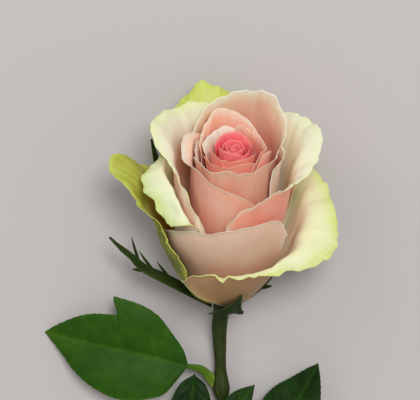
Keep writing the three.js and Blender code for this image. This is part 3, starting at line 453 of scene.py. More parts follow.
def grid_shell(name, middle, thickness, tones_out, tones_in, uv, normal=None, painted_shades=(0.0, 0.0)):
    """A closed thin mesh round a grid of middle points, with rounded margins, uv, tone and painted shade."""
    rows, columns = middle.shape[:2]
    # What would dip into the surface lies flat on it.
    middle = middle.copy()
    middle[..., 2] = np.maximum(middle[..., 2], RESTING)
    du = np.gradient(middle, axis=1)
    dv = np.gradient(middle, axis=0)
    if normal is None:
        normal = np.cross(du, dv)
    normal = normal / (np.linalg.norm(normal, axis=-1, keepdims=True) + 1e-12)
    half = thickness[..., None] / 2
    outer = middle + normal * half
    inner = middle - normal * half
    count = rows * columns
    # A ring of points just outside the margin rounds it off.
    ring = ([(0, i) for i in range(columns)] + [(j, columns - 1) for j in range(1, rows)]
            + [(rows - 1, i) for i in range(columns - 2, -1, -1)] + [(j, 0) for j in range(rows - 2, 0, -1)])
    away = np.zeros_like(middle)
    away[0] -= dv[0]
    away[-1] += dv[-1]
    away[:, 0] -= du[:, 0]
    away[:, -1] += du[:, -1]
    away /= np.linalg.norm(away, axis=-1, keepdims=True) + 1e-12
    edge = np.array([middle[j, i] + away[j, i] * half[j, i] for j, i in ring])
    vertices = np.concatenate([outer.reshape(-1, 3), inner.reshape(-1, 3), edge])
    jj, ii = np.meshgrid(np.arange(rows - 1), np.arange(columns - 1), indexing="ij")
    a = (jj * columns + ii).ravel()
    b = a + 1
    c = a + columns + 1
    d = a + columns
    front = np.stack([a, b, c, d], -1)
    back = np.stack([a, d, c, b], -1) + count
    n = len(ring)
    at = np.array([j * columns + i for j, i in ring])
    nxt = np.roll(at, -1)
    e = 2 * count + np.arange(n)
    en = np.roll(e, -1)
    rim_front = np.stack([nxt, at, e, en], -1)
    rim_back = np.stack([at + count, nxt + count, en, e], -1)
    faces = np.concatenate([front, back, rim_front, rim_back])
    mesh = bpy.data.meshes.new(name)
    mesh.from_pydata((vertices * MM).tolist(), [], faces.tolist())
    mesh.validate()
    uvs = uv.reshape(-1, 2)
    point_uv = np.concatenate([uvs, uvs, uvs[at]])
    layer = mesh.uv_layers.new(name="UVMap")
    corner = np.empty(len(mesh.loops), dtype=np.int32)
    mesh.loops.foreach_get("vertex_index", corner)
    layer.data.foreach_set("uv", point_uv[corner].astype(np.float32).ravel())
    # The second layer holds the painted shade that browns a petal's colour.
    for layer_name, sides in (("tone", (tones_out, tones_in)), ("veil", painted_shades)):
        front_values, back_values = (np.broadcast_to(x, (rows, columns)).ravel() for x in sides)
        between = 0.5 * (front_values[at] + back_values[at])
        paint(mesh, layer_name, np.concatenate([front_values, back_values, between]))
    shade_smooth(mesh)
    mesh.update()
    return placed(name, mesh)


def three_stops(stops, v):
    foot, mid, rim = stops
    below = lerp(foot, mid, smooth(v / MIDDLE_AT))
    above = lerp(mid, rim, smooth((v - MIDDLE_AT) / (1 - MIDDLE_AT)))
    return np.where(v < MIDDLE_AT, below, above)


def make_petal(node, settings):
    petal = PETALS[node]
    ribs = petal[3]
    look = LOOKS["core"] if node.startswith("core") else LOOKS[node]
    tones_out, tones_in, margin, roll, waves, seed = look
    if node.startswith("core"):
        seed += 30 + int(node.split("_")[-1])
    span = abs(ribs[-1][0] - ribs[0][0])
    columns = int(settings.across * (0.5 if node.startswith("core") else 0.6 + 0.4 * span / WIDE_SPAN))
    rows = settings.upward
    # Rows sit closer together near the rim.
    v_line = np.linspace(0, 1, rows + 1)
    v_line = 1 - (1 - v_line) ** 1.25
    u_line = np.linspace(0, 1, columns + 1)
    if ribs[0][0] < ribs[-1][0]:
        u_line = u_line[::-1]
    v, u = np.meshgrid(v_line, u_line, indexing="ij")
    middle = petal_surface(petal, u, v, roll * settings.roll, waves * settings.waves, seed)
    side = np.minimum(u, 1 - u)
    thickness = settings.thickness * (0.45 + 0.55 * smooth(np.minimum(side * 9, (1 - v) * 6)))
    thickness = thickness * lerp(0.6, 1.0, smooth(v / 0.3))
    to_margin = np.minimum(side * span / WIDE_SPAN * 3.2, (1 - v) * 1.6)
    near = 1 - smooth(to_margin / 0.16)
    thin = 1 - smooth(to_margin / 0.035)
    patch = 0.05 * noise_of(middle, 9.0, seed + 3)
    result = []
    for tones in (tones_out, tones_in):
        tone = three_stops(tones, v) + patch
        tone = lerp(tone, margin, 0.55 * near)
        tone = lerp(tone, max(margin, 0.3), 0.3 * thin)
        result.append(np.clip(tone, 0, 1))
    uv = np.stack([u, v], -1)
    # Painted shade on each face, from its foot value to its rim value, kept off the thin margin.
    low_out, high_out, low_in, high_in = PAINTED_SHADE_BY_PETAL.get(node, (0, 0, 0, 0))
    clear = 1 - thin
    painted_shade_out = lerp(low_out, high_out, smooth((v - 0.2) / 0.7)) * clear
    painted_shade_in = lerp(low_in, high_in, smooth((v - 0.3) / 0.6)) * clear
    # The grid's first side is the one that faces the middle of the bloom.
    piece = grid_shell(node + "_fine", to_world(middle), thickness, result[1], result[0], uv,
                       painted_shades=(painted_shade_in, painted_shade_out))
    ready(piece, node, "petal_skin")


# ------------------------------------------------------------------ blades: sepals and leaflets

def path_frame(path, face, t):
    """Centre, tangent, side and normal of a blade at each t."""
    path = np.asarray(path, float)
    centre = along(path, t)
    tangent = along(path, t + 0.02) - along(path, t - 0.02)
    tangent /= np.linalg.norm(tangent, axis=-1, keepdims=True)
    side = np.cross(tangent, np.asarray(face, float))
    side /= np.linalg.norm(side, axis=-1, keepdims=True)
    normal = np.cross(side, tangent)
    return centre, tangent, side, normal


def tooth(t, count):
    """A row of forward-leaning teeth, 0 to 1."""
    f = (t * count) % 1.0
    return np.where(f < TOOTH_POINT, f / TOOTH_POINT, (1 - f) / (1 - TOOTH_POINT)) ** 1.3


def make_leaflet(node, settings, seed):
    lobed = node == "leaf_a_terminal"
    if lobed:
        face, path = (0, 0, 1), LOBED_MIDRIB
    else:
        half, face, path = LEAFLETS[node]
    teeth = settings.teeth
    t_line = np.linspace(0, 1, teeth * ROWS_PER_TOOTH + 1)
    if lobed:
        # Two rows close together make the sharp notch behind the lobe.
        kept = t_line[np.abs(t_line - LOBE_AT) > 0.003]
        t_line = np.sort(np.concatenate([kept, [LOBE_AT - 0.001, LOBE_AT + 0.001]]))
    s_line = np.linspace(-1, 1, 2 * settings.across + 1)
    s_line = np.sign(s_line) * np.abs(s_line) ** 0.9
    t, s = np.meshgrid(t_line, s_line, indexing="ij")
    centre, tangent, side, normal = path_frame(path, face, t)
    steps = np.diff(along(np.asarray(path, float), np.linspace(0, 1, 60)), axis=0)
    length = np.linalg.norm(steps, axis=-1).sum()
    if lobed:
        lower = along(np.array(LOBED_LOWER)[:, None], t)[..., 0]
        upper = along(np.array(LOBED_UPPER)[:, None], t / LOBE_AT)[..., 0]
        beyond = along(np.array(LOBED_BEYOND)[:, None], (t - LOBE_AT) / (1 - LOBE_AT))[..., 0]
        upper = np.where(t < LOBE_AT, upper, beyond)
        width = np.where(s < 0, lower, upper)
        drawn = LOBE_REACH * smooth((t / LOBE_AT - 0.45) / 0.55) * smooth((s * width - 12) / 10)
        ahead = np.where((s > 0) & (t < LOBE_AT), drawn, 0)
    else:
        width = half * along(np.array(OUTLINE)[:, None], t)[..., 0]
        ahead = 0 * t
    width = np.maximum(width, 0.25)
    edge = smooth((np.abs(s) - 0.82) / 0.18)
    bite = settings.tooth_depth * tooth(t + 0.013 * seed, teeth) * edge * smooth(width / 4)
    width = width + bite
    ahead = ahead + 0.5 * bite
    a = np.abs(s)
    # Side veins leave the midrib at a slant and curve towards the tip.
    place = (t - 0.13 * a - 0.05 * a * a) * settings.veins + 0.25 * np.sign(s)
    off = np.abs(place - np.round(place))
    groove = np.exp(-(off / 0.07) ** 2) * (1 - 0.6 * a)
    puff = np.cos(np.pi * np.clip(off * 2, 0, 1)) * -0.5 + 0.5
    fade = smooth(width / 5)
    rib = np.exp(-(a * width / 0.7) ** 2)
    swell = 0.5 * puff * smooth(a * 3) * smooth((1 - a) * 4)
    relief = settings.relief * fade * (swell - 0.35 * groove - 0.7 * rib)
    flat = centre + side * (s * width)[..., None]
    ripple = (0.9 * noise_of(flat, 14.0, seed) + 0.35 * noise_of(flat, 4.5, seed + 40)) * a * fade
    fold = math.radians(settings.fold)
    arch = 0.16 * width * a * (1 - a) * 2
    points = (centre + side * (s * width * math.cos(fold))[..., None]
              + normal * (a * width * math.sin(fold) + arch + relief + ripple)[..., None]
              + tangent * ahead[..., None])
    points[..., 2] = np.maximum(points[..., 2], RESTING)
    veins = np.clip(0.8 * rib + 0.5 * groove * fade, 0, 1)
    patch = 0.1 * noise_of(points, 12.0, seed + 5)
    # Painted shade darkens the leaflets that lie near the bloom.
    painted_dimming = LEAF_PAINTED_SHADE if node == "leaf_a_lateral" or node.startswith("leaf_b") else 0.0
    top = 0.36 - painted_dimming + 0.16 * veins + patch + 0.12 * smooth((a - 0.93) / 0.07) - 0.06 * smooth(1 - t * 5)
    top = np.clip(top, 0, 1)
    under = np.clip(0.66 + 0.14 * veins + patch, 0, 1)
    thickness = settings.thickness * (1 + 1.6 * rib) * (0.5 + 0.5 * smooth((1 - a) * 8))
    uv = np.stack([0.5 + 0.5 * s * width / UV_WIDTH, t * length / UV_LENGTH], -1)
    piece = grid_shell(node + "_fine", points + SET_DOWN, thickness, top, under, uv, normal)
    ready(piece, node, "leaf_skin")


def make_sepal(node, settings, seed):
    lift, rows = SEPALS[node]
    rows = np.array(rows, float)
    path = to_world(bloom_point(rows[:, 0], rows[:, 1], rows[:, 2]))
    azimuth = rows[1][0]
    face = to_world(bloom_point(np.array(azimuth), np.array(-0.5), np.array(1.0))) - HIP
    t, s = np.meshgrid(np.linspace(0, 1, SEPAL_ROWS), np.linspace(-1, 1, SEPAL_COLUMNS), indexing="ij")
    centre, _, side, normal = path_frame(path, face, t)
    width = np.maximum(0.16, np.where(s < 0, along(rows[:, 3:4], t)[..., 0], along(rows[:, 4:5], t)[..., 0]))
    a = np.abs(s)
    width = width * (1 + 0.05 * noise_of(np.stack([t * 12, s * 0 + seed, s * 0], -1), 1.0, seed) * smooth(a))
    fold = math.radians(lift)
    curl = settings.curl * 0.14 * width * smooth((a - 0.5) / 0.5)
    ridge = 0.35 * np.exp(-(a * width / 0.5) ** 2)
    furrow = 0.1 * np.cos(a * width * 4.2) * smooth(width / 2)
    points = (centre + side * (s * width * math.cos(fold))[..., None]
              + normal * (a * width * math.sin(fold) - curl + furrow - ridge * 0.4)[..., None])
    keel = 1 + 0.8 * np.exp(-(a * width / 0.8) ** 2)
    thickness = settings.thickness * keel * (0.45 + 0.55 * smooth((1 - a) * 5))
    patch = 0.08 * noise_of(points, 7.0, seed + 5)
    edge = smooth((a - 0.9) / 0.1) * smooth(width / 1.5)
    top = np.clip(0.62 + patch + 0.16 * edge, 0, 1)
    under = np.clip(0.40 + patch + 0.3 * edge + 0.1 * (ridge / 0.35), 0, 1)
    uv = np.stack([0.5 + 0.5 * s * width / 8, t], -1)
    piece = grid_shell(node + "_fine", points, thickness, top, under, uv)
    lobes = []
    for at, hand, length, lean in SEPAL_LOBES.get(node, []):
        lobes.append(make_lobe(path, rows, face, at, hand, length, lean, settings))
    hairs = make_hairs(node, path, rows, face, settings, seed)
    piece = joined(piece, [x for x in lobes + [hairs] if x], node + "_fine")
    ready(piece, node, "sepal_skin")


def make_lobe(path, rows, face, at, hand, length, lean, settings):
    """A narrow side lobe of a sepal."""
    centre, tangent, side, normal = (x[0] for x in path_frame(path, face, np.array([at])))
    width = along(rows[:, 3:5], np.array([at]))[0][0 if hand < 0 else 1]
    start = centre + side * hand * width * 0.55
    away = tangent * lean + side * hand * (1 - lean * 0.45)
    away /= np.linalg.norm(away)
    line = [start + away * length * k / 4 + tangent * 0.05 * length * (k / 4) ** 2
            + normal * 0.10 * length * (k / 4) ** 2 for k in range(5)]
    t, s = np.meshgrid(np.linspace(0, 1, 25), np.linspace(-1, 1, 7), indexing="ij")
    centre, _, side, normal = path_frame(line, normal, t)
    half = along(np.array([[0.6], [0.95], [0.85], [0.55], [0.08]]), t)[..., 0]
    points = centre + side * (s * half)[..., None] + normal * (0.15 * np.abs(s) * half)[..., None]
    thickness = settings.thickness * 0.7 * (0.5 + 0.5 * (1 - np.abs(s))) + 0 * t
    return grid_shell("lobe", points, thickness, 0.56 + 0 * t, 0.4 + 0 * t, np.stack([0.5 + s * 0.1, t], -1))


def joined(piece, others, name):
    """One mesh object from several, keeping uv and tone."""
    if not others:
        return piece
    bm = bmesh.new()
    for each in [piece] + others:
        bm.from_mesh(each.data)
    mesh = bpy.data.meshes.new(name + "_mesh")
    bm.to_mesh(mesh)
    bm.free()
    for each in [piece] + others:
        data = each.data
        bpy.data.objects.remove(each)
        bpy.data.meshes.remove(data)
    return placed(name, mesh)


# ------------------------------------------------------------------ geometry nodes

class Wiring:
    """A short way to add and join the nodes of a group."""

    def __init__(self, group):
        self.group = group

    def node(self, kind, **settings):
        made = self.group.nodes.new(kind)
        for key, value in settings.items():
            setattr(made, key, value)
        return made

    def put(self, socket, value):
        """Set a socket to a plain value, or join it to an output or to a node's first output."""
        if isinstance(value, (int, float, tuple)):
            socket.default_value = value
        else:
            output = value.outputs[0] if isinstance(value, bpy.types.Node) else value
            self.group.links.new(output, socket)

    def feed(self, node, **values):
        """Put each value in the input it names. An underscore stands for a space."""
        for key, value in values.items():
            self.put(node.inputs[key.replace("_", " ")], value)
        return node

    def add(self, kind, **values):
        return self.feed(self.node(kind), **values)

    def math(self, operation, a, b, clamp=False):
        made = self.node("ShaderNodeMath", operation=operation, use_clamp=clamp)
        self.put(made.inputs[0], a)
        self.put(made.inputs[1], b)
        return made.outputs[0]

    def swing(self, value, size):
        """A value from 0 to 1, moved to lie evenly about 0 and scaled."""
        return self.math("MULTIPLY", self.math("SUBTRACT", value, 0.5), size)


class Tree(Wiring):
    """A geometry tree that starts from a path."""

    def __init__(self, name):
        super().__init__(bpy.data.node_groups.new(name, "GeometryNodeTree"))
        for way in ("INPUT", "OUTPUT"):
            self.group.interface.new_socket("Geometry", in_out=way, socket_type="NodeSocketGeometry")
        self.start = self.node("NodeGroupInput")
        self.end = self.node("NodeGroupOutput")
        self.path = self.start.outputs["Geometry"]

    def input(self, name, kind, default):
        socket = self.group.interface.new_socket(name, in_out="INPUT", socket_type="NodeSocket" + kind)
        socket.default_value = default
        return self.start.outputs[name]

    def sweep(self, curve, profile):
        """A closed tube along a curve, as wide as the curve's radius."""
        tube = self.add("GeometryNodeCurveToMesh", Curve=curve, Profile_Curve=profile, Fill_Caps=True)
        if "Scale" in tube.inputs:
            self.feed(tube, Scale=self.node("GeometryNodeInputRadius"))
        return tube

    def finish(self, geometry):
        self.feed(self.end, Geometry=geometry)
        return self


def evaluated(source, tree, values, name):
    """Run a tree on an object with its inputs set, and return the result as a plain mesh object."""
    modifier = source.modifiers.new("build", "NODES")
    modifier.node_group = tree.group
    for item in tree.group.interface.items_tree:
        if item.item_type == "SOCKET" and item.in_out == "INPUT" and item.name in values:
            modifier[item.identifier] = values[item.name]
    graph = bpy.context.evaluated_depsgraph_get()
    mesh = bpy.data.meshes.new_from_object(source.evaluated_get(graph))
    source.modifiers.remove(modifier)
    made = placed(name, mesh)
    bpy.data.objects.remove(source)
    return made


def path_object(name, points, radii):
    """A poly curve through millimetre points."""
    curve = bpy.data.curves.new(name, "CURVE")
    curve.dimensions = "3D"
    spline = curve.splines.new("POLY")
    spline.points.add(len(points) - 1)
    for k, (place, radius) in enumerate(zip(points, radii)):
        spline.points[k].co = (*(np.asarray(place) * MM), 1)
        spline.points[k].radius = float(radius)
    return placed(name, curve)


def stem_tree():
    """A tube along the path with a ribbed skin and hooked prickles on its upper side."""
    tree = Tree("stem")
    sides = tree.input("Sides", "Int", 40)
    bump = tree.input("Bump", "Float", 0.0)
    count = tree.input("Prickles", "Int", 9)
    first = tree.input("First prickle", "Float", 0.4)
    last = tree.input("Last prickle", "Float", 0.92)
    size = tree.input("Prickle length", "Float", 0.0046)
    seed = tree.input("Seed", "Int", 4)
    tube = tree.sweep(tree.path, tree.add("GeometryNodeCurvePrimitiveCircle", Resolution=sides, Radius=MM))
    place = tree.node("GeometryNodeInputPosition")
    stretch = tree.node("ShaderNodeVectorMath", operation="MULTIPLY")
    tree.put(stretch.inputs[0], place)
    tree.put(stretch.inputs[1], (1.0, 0.16, 1.0))
    cloud = tree.add("ShaderNodeTexNoise", Vector=stretch, Scale=900.0, Detail=3.0)
    lump = tree.add("ShaderNodeTexNoise", Vector=place, Scale=110.0, Detail=1.0)
    level = tree.math("ADD", tree.swing(cloud, 1.0), tree.swing(lump, 1.6))
    push = tree.node("ShaderNodeVectorMath", operation="SCALE")
    tree.put(push.inputs[0], tree.node("GeometryNodeInputNormal"))
    tree.feed(push, Scale=tree.math("MULTIPLY", level, bump))
    ribbed = tree.add("GeometryNodeSetPosition", Geometry=tube, Offset=push)

    # One prickle: a hooked cone that stands along +X and leans back along the stem.
    hook = tree.add("GeometryNodeCurveQuadraticBezier", Resolution=10, Start=(-0.25, 0.0, 0.0),
                    Middle=(0.35, 0.0, 0.02), End=(1.0, 0.0, 0.5))
    share = tree.node("GeometryNodeSplineParameter").outputs["Factor"]
    to_tip = tree.math("POWER", tree.math("SUBTRACT", 1.0, share), 1.5)
    taper = tree.math("ADD", tree.math("MULTIPLY", to_tip, 0.30), 0.012)
    thin = tree.add("GeometryNodeSetCurveRadius", Curve=hook, Radius=taper)
    cone = tree.sweep(thin, tree.add("GeometryNodeCurvePrimitiveCircle", Resolution=14, Radius=1.0))

    # Even steps along part of the path, where each prickle is turned to its own side.
    trim = tree.node("GeometryNodeTrimCurve", mode="FACTOR")
    part = tree.feed(trim, Curve=tree.path, Start=first, End=last)
    upright = tree.feed(tree.node("GeometryNodeSetCurveNormal", mode="Z_UP"), Curve=part)
    kept = tree.node("GeometryNodeCaptureAttribute")
    kept.capture_items.new("FLOAT", "girth")
    tree.feed(kept, Geometry=upright, girth=tree.node("GeometryNodeInputRadius"))
    spots = tree.feed(tree.node("GeometryNodeCurveToPoints", mode="COUNT"), Curve=kept, Count=count)
    pick = tree.feed(tree.node("FunctionNodeRandomValue", data_type="FLOAT"), Seed=seed)
    tree.put(pick.inputs[2], math.radians(15))
    tree.put(pick.inputs[3], math.radians(165))
    stand = tree.add("GeometryNodeInstanceOnPoints", Points=spots, Instance=cone,
                     Rotation=spots.outputs["Rotation"], Scale=size)
    turn = tree.add("ShaderNodeCombineXYZ", Z=pick.outputs[1])
    spin = tree.add("GeometryNodeRotateInstances", Instances=stand, Rotation=turn)
    out = tree.add("ShaderNodeCombineXYZ", X=tree.math("MULTIPLY", kept.outputs["girth"], PRICKLE_ROOT * MM))
    move = tree.add("GeometryNodeTranslateInstances", Instances=spin, Translation=out)
    both = tree.node("GeometryNodeJoinGeometry")
    tree.feed(both, Geometry=tree.add("GeometryNodeRealizeInstances", Geometry=move))
    tree.feed(both, Geometry=ribbed)
    return tree.finish(tree.add("GeometryNodeSetShadeSmooth", Geometry=both))


def make_stem(settings):
    top = to_world(np.array([[aside, 0, height] for height, aside, _ in HIP_ROWS], float))
    rows = [[*p, r[2]] for p, r in zip(top, HIP_ROWS)]
    rows += [[*(np.array(r[:3]) + SET_DOWN), r[3]] for r in STEM_ROWS]
    line = along(np.array(rows), np.linspace(0, 1, 321))
    # The top of the hip closes over in a low dome.
    line[:4, 3] *= [0.72, 0.9, 0.97, 1.0]
    path = path_object("stem_path", line[:, :3], line[:, 3])
    made = evaluated(path, stem_tree(), {
        "Sides": settings.sides, "Bump": settings.bump, "Prickles": settings.prickles,
        "Prickle length": settings.prickle_length, "Seed": settings.seed}, "stem_fine")
    end, before = line[-1, :3] * MM, line[-6, :3] * MM
    direction = Vector(end - before).normalized()
    # The cut is slanted: the last ring leans back over its upper side.
    tone = made.data.attributes.new("tone", "FLOAT", "POINT")
    for k, vertex in enumerate(made.data.vertices):
        beyond = (vertex.co - Vector(end)).dot(direction)
        if beyond > -CUT_DEPTH:
            vertex.co += direction * (vertex.co.z - end[2]) * CUT_SLANT
            tone.data[k].value = 1.0
        # A prickle underneath is pressed aside by the surface, and keeps some of its thickness.
        if vertex.co.z < RESTING * MM:
            vertex.co.z = RESTING * MM * math.exp(vertex.co.z / (RESTING * MM) - 1)
    ready(made, "stem", "stem_skin")


def hair_tree():
    """Short stiff hairs at even steps along a path, each leaning its own way."""
    tree = Tree("hairs")
    count = tree.input("Count", "Int", 60)
    length = tree.input("Length", "Float", 0.0007)
    seed = tree.input("Seed", "Int", 1)
    spots = tree.feed(tree.node("GeometryNodeCurveToPoints", mode="COUNT"), Curve=tree.path, Count=count)
    rod = tree.add("GeometryNodeMeshCone", Vertices=5, Radius_Bottom=0.07, Radius_Top=0.03, Depth=1.0)
    pick = tree.feed(tree.node("FunctionNodeRandomValue", data_type="FLOAT_VECTOR"), Seed=seed)
    tree.put(pick.inputs[0], (0.3, -0.7, 0.0))
    tree.put(pick.inputs[1], (1.3, 0.7, 6.28))
    stand = tree.add("GeometryNodeInstanceOnPoints", Points=spots, Instance=rod, Rotation=pick, Scale=length)
    return tree.finish(tree.add("GeometryNodeRealizeInstances", Geometry=stand))


def make_hairs(node, path, rows, face, settings, seed):
    """Hairs along both margins of a sepal."""
    made = []
    t = np.linspace(0.08, 0.97, 40)
    centre, _, side, normal = path_frame(path, face, t)
    width = along(rows[:, 3:5], t)
    lift = math.radians(SEPALS[node][0])
    for hand in (0, 1):
        sign = -1 if hand == 0 else 1
        w = width[:, hand:hand + 1]
        raised = math.sin(lift) - 0.14 * settings.curl
        line = centre + side * sign * w * math.cos(lift) + normal * w * raised
        curve = path_object("margin", line, np.ones(len(line)))
        hair = evaluated(curve, hair_tree(), {
            "Count": settings.hairs, "Length": settings.hair_length, "Seed": seed + hand}, "hair")
        paint(hair.data, "tone", np.full(len(hair.data.vertices), HAIR_TONE))
        made.append(hair)
    return joined(made[0], made[1:], node + "_hairs")


def make_stalk(node, seed):
    """A leaf stalk: a round rod with two flat wings along its foot."""
    rows = np.array(STALKS[node], float)
    steps, around = 72, 28
    t, w = np.meshgrid(np.linspace(0, 1, steps + 1), np.arange(around) / around, indexing="ij")
    centre, _, side, normal = path_frame(rows[:, :3], (0, 0, 1), t)
    values = along(rows[:, 3:5], t)
    radius, wing = values[..., 0], np.maximum(values[..., 1], 0)
    angle = 2 * np.pi * w
    across = np.cos(angle)
    height = np.sin(angle)
    reach = radius * across + wing * np.sign(across) * np.abs(across) ** 3
    deep = radius * height * lerp(1.0, 0.35, smooth(wing / 1.6) * smooth(np.abs(across) * 1.6))
    groove = 0.25 * radius * np.exp(-(across / 0.28) ** 2) * (height > 0)
    cup_up = 0.12 * wing * across ** 2
    points = (centre + side * reach[..., None] + normal * (deep - groove + cup_up)[..., None]
              + side * (0.12 * noise_of(centre, 3.0, seed))[..., None] + SET_DOWN)
    count = (steps + 1) * around
    vertices = np.concatenate([points.reshape(-1, 3), points[:1].mean(axis=1), points[-1:].mean(axis=1)])
    faces = []
    for j in range(steps):
        for i in range(around):
            k = (i + 1) % around
            faces.append((j * around + i, (j + 1) * around + i, (j + 1) * around + k, j * around + k))
    for i in range(around):
        k = (i + 1) % around
        faces.append((count, i, k))
        faces.append((count + 1, steps * around + k, steps * around + i))
    mesh = bpy.data.meshes.new(node + "_fine")
    mesh.from_pydata((vertices * MM).tolist(), [], faces)
    bm = bmesh.new()
    bm.from_mesh(mesh)
    bmesh.ops.recalc_face_normals(bm, faces=bm.faces)
    bm.to_mesh(mesh)
    bm.free()
    value = lerp(0.95, 0.7, smooth(t * 1.4)).reshape(-1) - 0.12 * (np.abs(across).reshape(-1) < 0.3)
    paint(mesh, "tone", np.concatenate([value, [0.9, 0.7]]))
    shade_smooth(mesh)
    ready(placed(node + "_fine", mesh), node, "leaf_skin")


def ready(piece, node, skin_name):
    """Give a finished piece its material, and say what it rides on, replaces and is made of."""
    piece.data.materials.clear()
    piece.data.materials.append(material(skin_name))
    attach(piece, "root")
    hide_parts(node)


# ------------------------------------------------------------------ materials

class Shader(Wiring):
    """The nodes of one material."""

    def __init__(self, name):
        self.material = bpy.data.materials.new(name)
        self.material.use_nodes = True
        super().__init__(self.material.node_tree)
        self.group.nodes.clear()
        self.skin = self.node("ShaderNodeBsdfPrincipled")
        self.feed(self.node("ShaderNodeOutputMaterial"), Surface=self.skin)

    def attribute(self, name):
        return self.node("ShaderNodeAttribute", attribute_name=name).outputs["Fac"]

    def ramp(self, factor, stops):
        made = self.add("ShaderNodeValToRGB", Fac=factor)
        elements = made.color_ramp.elements
        while len(elements) < len(stops):
            elements.new(0.5)
        for element, (position, colour) in zip(elements, stops):
            element.position = position
            element.color = (*colour, 1)
        return made.outputs["Color"]

    def mix(self, factor, a, b, blend="MIX"):
        made = self.node("ShaderNodeMix", data_type="RGBA", blend_type=blend)
        for index, value in ((0, factor), (6, a), (7, b)):
            self.put(made.inputs[index], value)
        return made.outputs[2]

    def noise(self, space, scale, detail, rough, stretch=(1, 1, 1)):
        """Noise in a space of coordinates, "UV" or "Object", that may be stretched."""
        coordinates = self.node("ShaderNodeTexCoord").outputs[space]
        mapping = self.add("ShaderNodeMapping", Vector=coordinates, Scale=stretch)
        made = self.add("ShaderNodeTexNoise", Vector=mapping, Scale=scale, Detail=detail, Roughness=rough)
        return made.outputs["Fac"]

    def bump(self, height, distance, strength, **under):
        return self.add("ShaderNodeBump", Height=height, Distance=distance, Strength=strength, **under)

    def finish(self, **values):
        self.feed(self.skin, **values)
        return self.material


TONES = [
    (0.0, (0.98, 0.085, 0.135)), (0.12, (0.97, 0.22, 0.24)), (0.25, (0.94, 0.37, 0.27)),
    (0.40, (0.93, 0.57, 0.43)), (0.55, (0.92, 0.76, 0.60)), (0.68, (0.90, 0.82, 0.58)),
    (0.78, (0.86, 0.84, 0.44)), (0.87, (0.64, 0.70, 0.16)), (0.95, (0.28, 0.36, 0.03)),
    (1.0, (0.13, 0.17, 0.01)),
]
# The brown that the painted shade multiplies into a petal's colour.
PAINTED_SHADE_COLOUR = (0.32, 0.20, 0.08, 1)


def petal_skin(s):
    veins = s.noise("UV", 1.0, 4.0, 0.6, (46, 2.2, 1))
    blotch = s.noise("Object", 130.0, 3.0, 0.55)
    grain = s.noise("Object", 2600.0, 2.0, 0.6)
    shifted = s.math("ADD", s.attribute("tone"), s.swing(veins, 0.10))
    shifted = s.math("ADD", shifted, s.swing(blotch, 0.06), clamp=True)
    colour = s.ramp(shifted, TONES)
    # Painted shade: the colour darkened by that brown, as far as the mesh's layer asks.
    shaded_colour = s.mix(1.0, colour, PAINTED_SHADE_COLOUR, "MULTIPLY")
    ribbed = s.bump(veins, 0.00022, 0.6)
    return s.finish(
        Base_Color=s.mix(s.attribute("veil"), colour, shaded_colour), Roughness=0.52, Specular_IOR_Level=0.22,
        Subsurface_Weight=0.5, Subsurface_Radius=(1.0, 0.45, 0.26), Subsurface_Scale=0.0026,
        Sheen_Weight=0.08, Sheen_Roughness=0.4, Normal=s.bump(grain, 0.00005, 0.35, Normal=ribbed))


def leaf_skin(s):
    blotch = s.noise("Object", 160.0, 4.0, 0.6)
    fine = s.noise("Object", 1400.0, 3.0, 0.6)
    mixed = s.math("ADD", s.attribute("tone"), s.swing(blotch, 0.35), clamp=True)
    colour = s.ramp(mixed, [(0.0, (0.003, 0.016, 0.001)), (0.4, (0.022, 0.082, 0.002)),
                            (0.75, (0.07, 0.15, 0.008)), (1.0, (0.18, 0.26, 0.03))])
    return s.finish(
        Base_Color=colour, Roughness=0.55, Specular_IOR_Level=0.12, Subsurface_Weight=0.08,
        Subsurface_Radius=(0.4, 1.0, 0.2), Subsurface_Scale=0.0008, Normal=s.bump(fine, 0.00012, 0.5))


def sepal_skin(s):
    streak = s.noise("UV", 1.0, 4.0, 0.6, (26, 3, 1))
    blotch = s.noise("Object", 260.0, 4.0, 0.6)
    mixed = s.math("ADD", s.attribute("tone"), s.swing(streak, 0.3))
    mixed = s.math("ADD", mixed, s.swing(blotch, 0.3), clamp=True)
    colour = s.ramp(mixed, [(0.0, (0.003, 0.011, 0.001)), (0.35, (0.009, 0.026, 0.002)),
                            (0.62, (0.028, 0.052, 0.007)), (0.85, (0.08, 0.11, 0.025)),
                            (1.0, (0.16, 0.19, 0.06))])
    return s.finish(
        Base_Color=colour, Roughness=0.6, Specular_IOR_Level=0.15, Subsurface_Weight=0.08,
        Subsurface_Radius=(0.4, 1.0, 0.2), Subsurface_Scale=0.0008, Normal=s.bump(blotch, 0.00015, 0.5))


def stem_skin(s):
    streak = s.noise("Object", 60.0, 4.0, 0.6, (9, 0.6, 9))
    blotch = s.noise("Object", 90.0, 3.0, 0.5)
    mixed = s.math("ADD", s.math("MULTIPLY", streak, 0.7), s.math("MULTIPLY", blotch, 0.4), clamp=True)
    colour = s.ramp(mixed, [(0.25, (0.008, 0.014, 0.001)), (0.55, (0.020, 0.032, 0.002)),
                            (0.85, (0.06, 0.07, 0.008))])
    pith = s.ramp(blotch, [(0.35, (0.42, 0.46, 0.24)), (0.65, (0.62, 0.62, 0.40))])
    return s.finish(Base_Color=s.mix(s.attribute("tone"), colour, pith), Roughness=0.5,
                    Specular_IOR_Level=0.2, Normal=s.bump(streak, 0.0002, 0.5))


SKINS = {"petal_skin": petal_skin, "leaf_skin": leaf_skin, "sepal_skin": sepal_skin, "stem_skin": stem_skin}


def material(name):
    """The material of that name, made when it's first asked for."""
    return bpy.data.materials.get(name) or SKINS[name](Shader(name))


# ------------------------------------------------------------------ stage

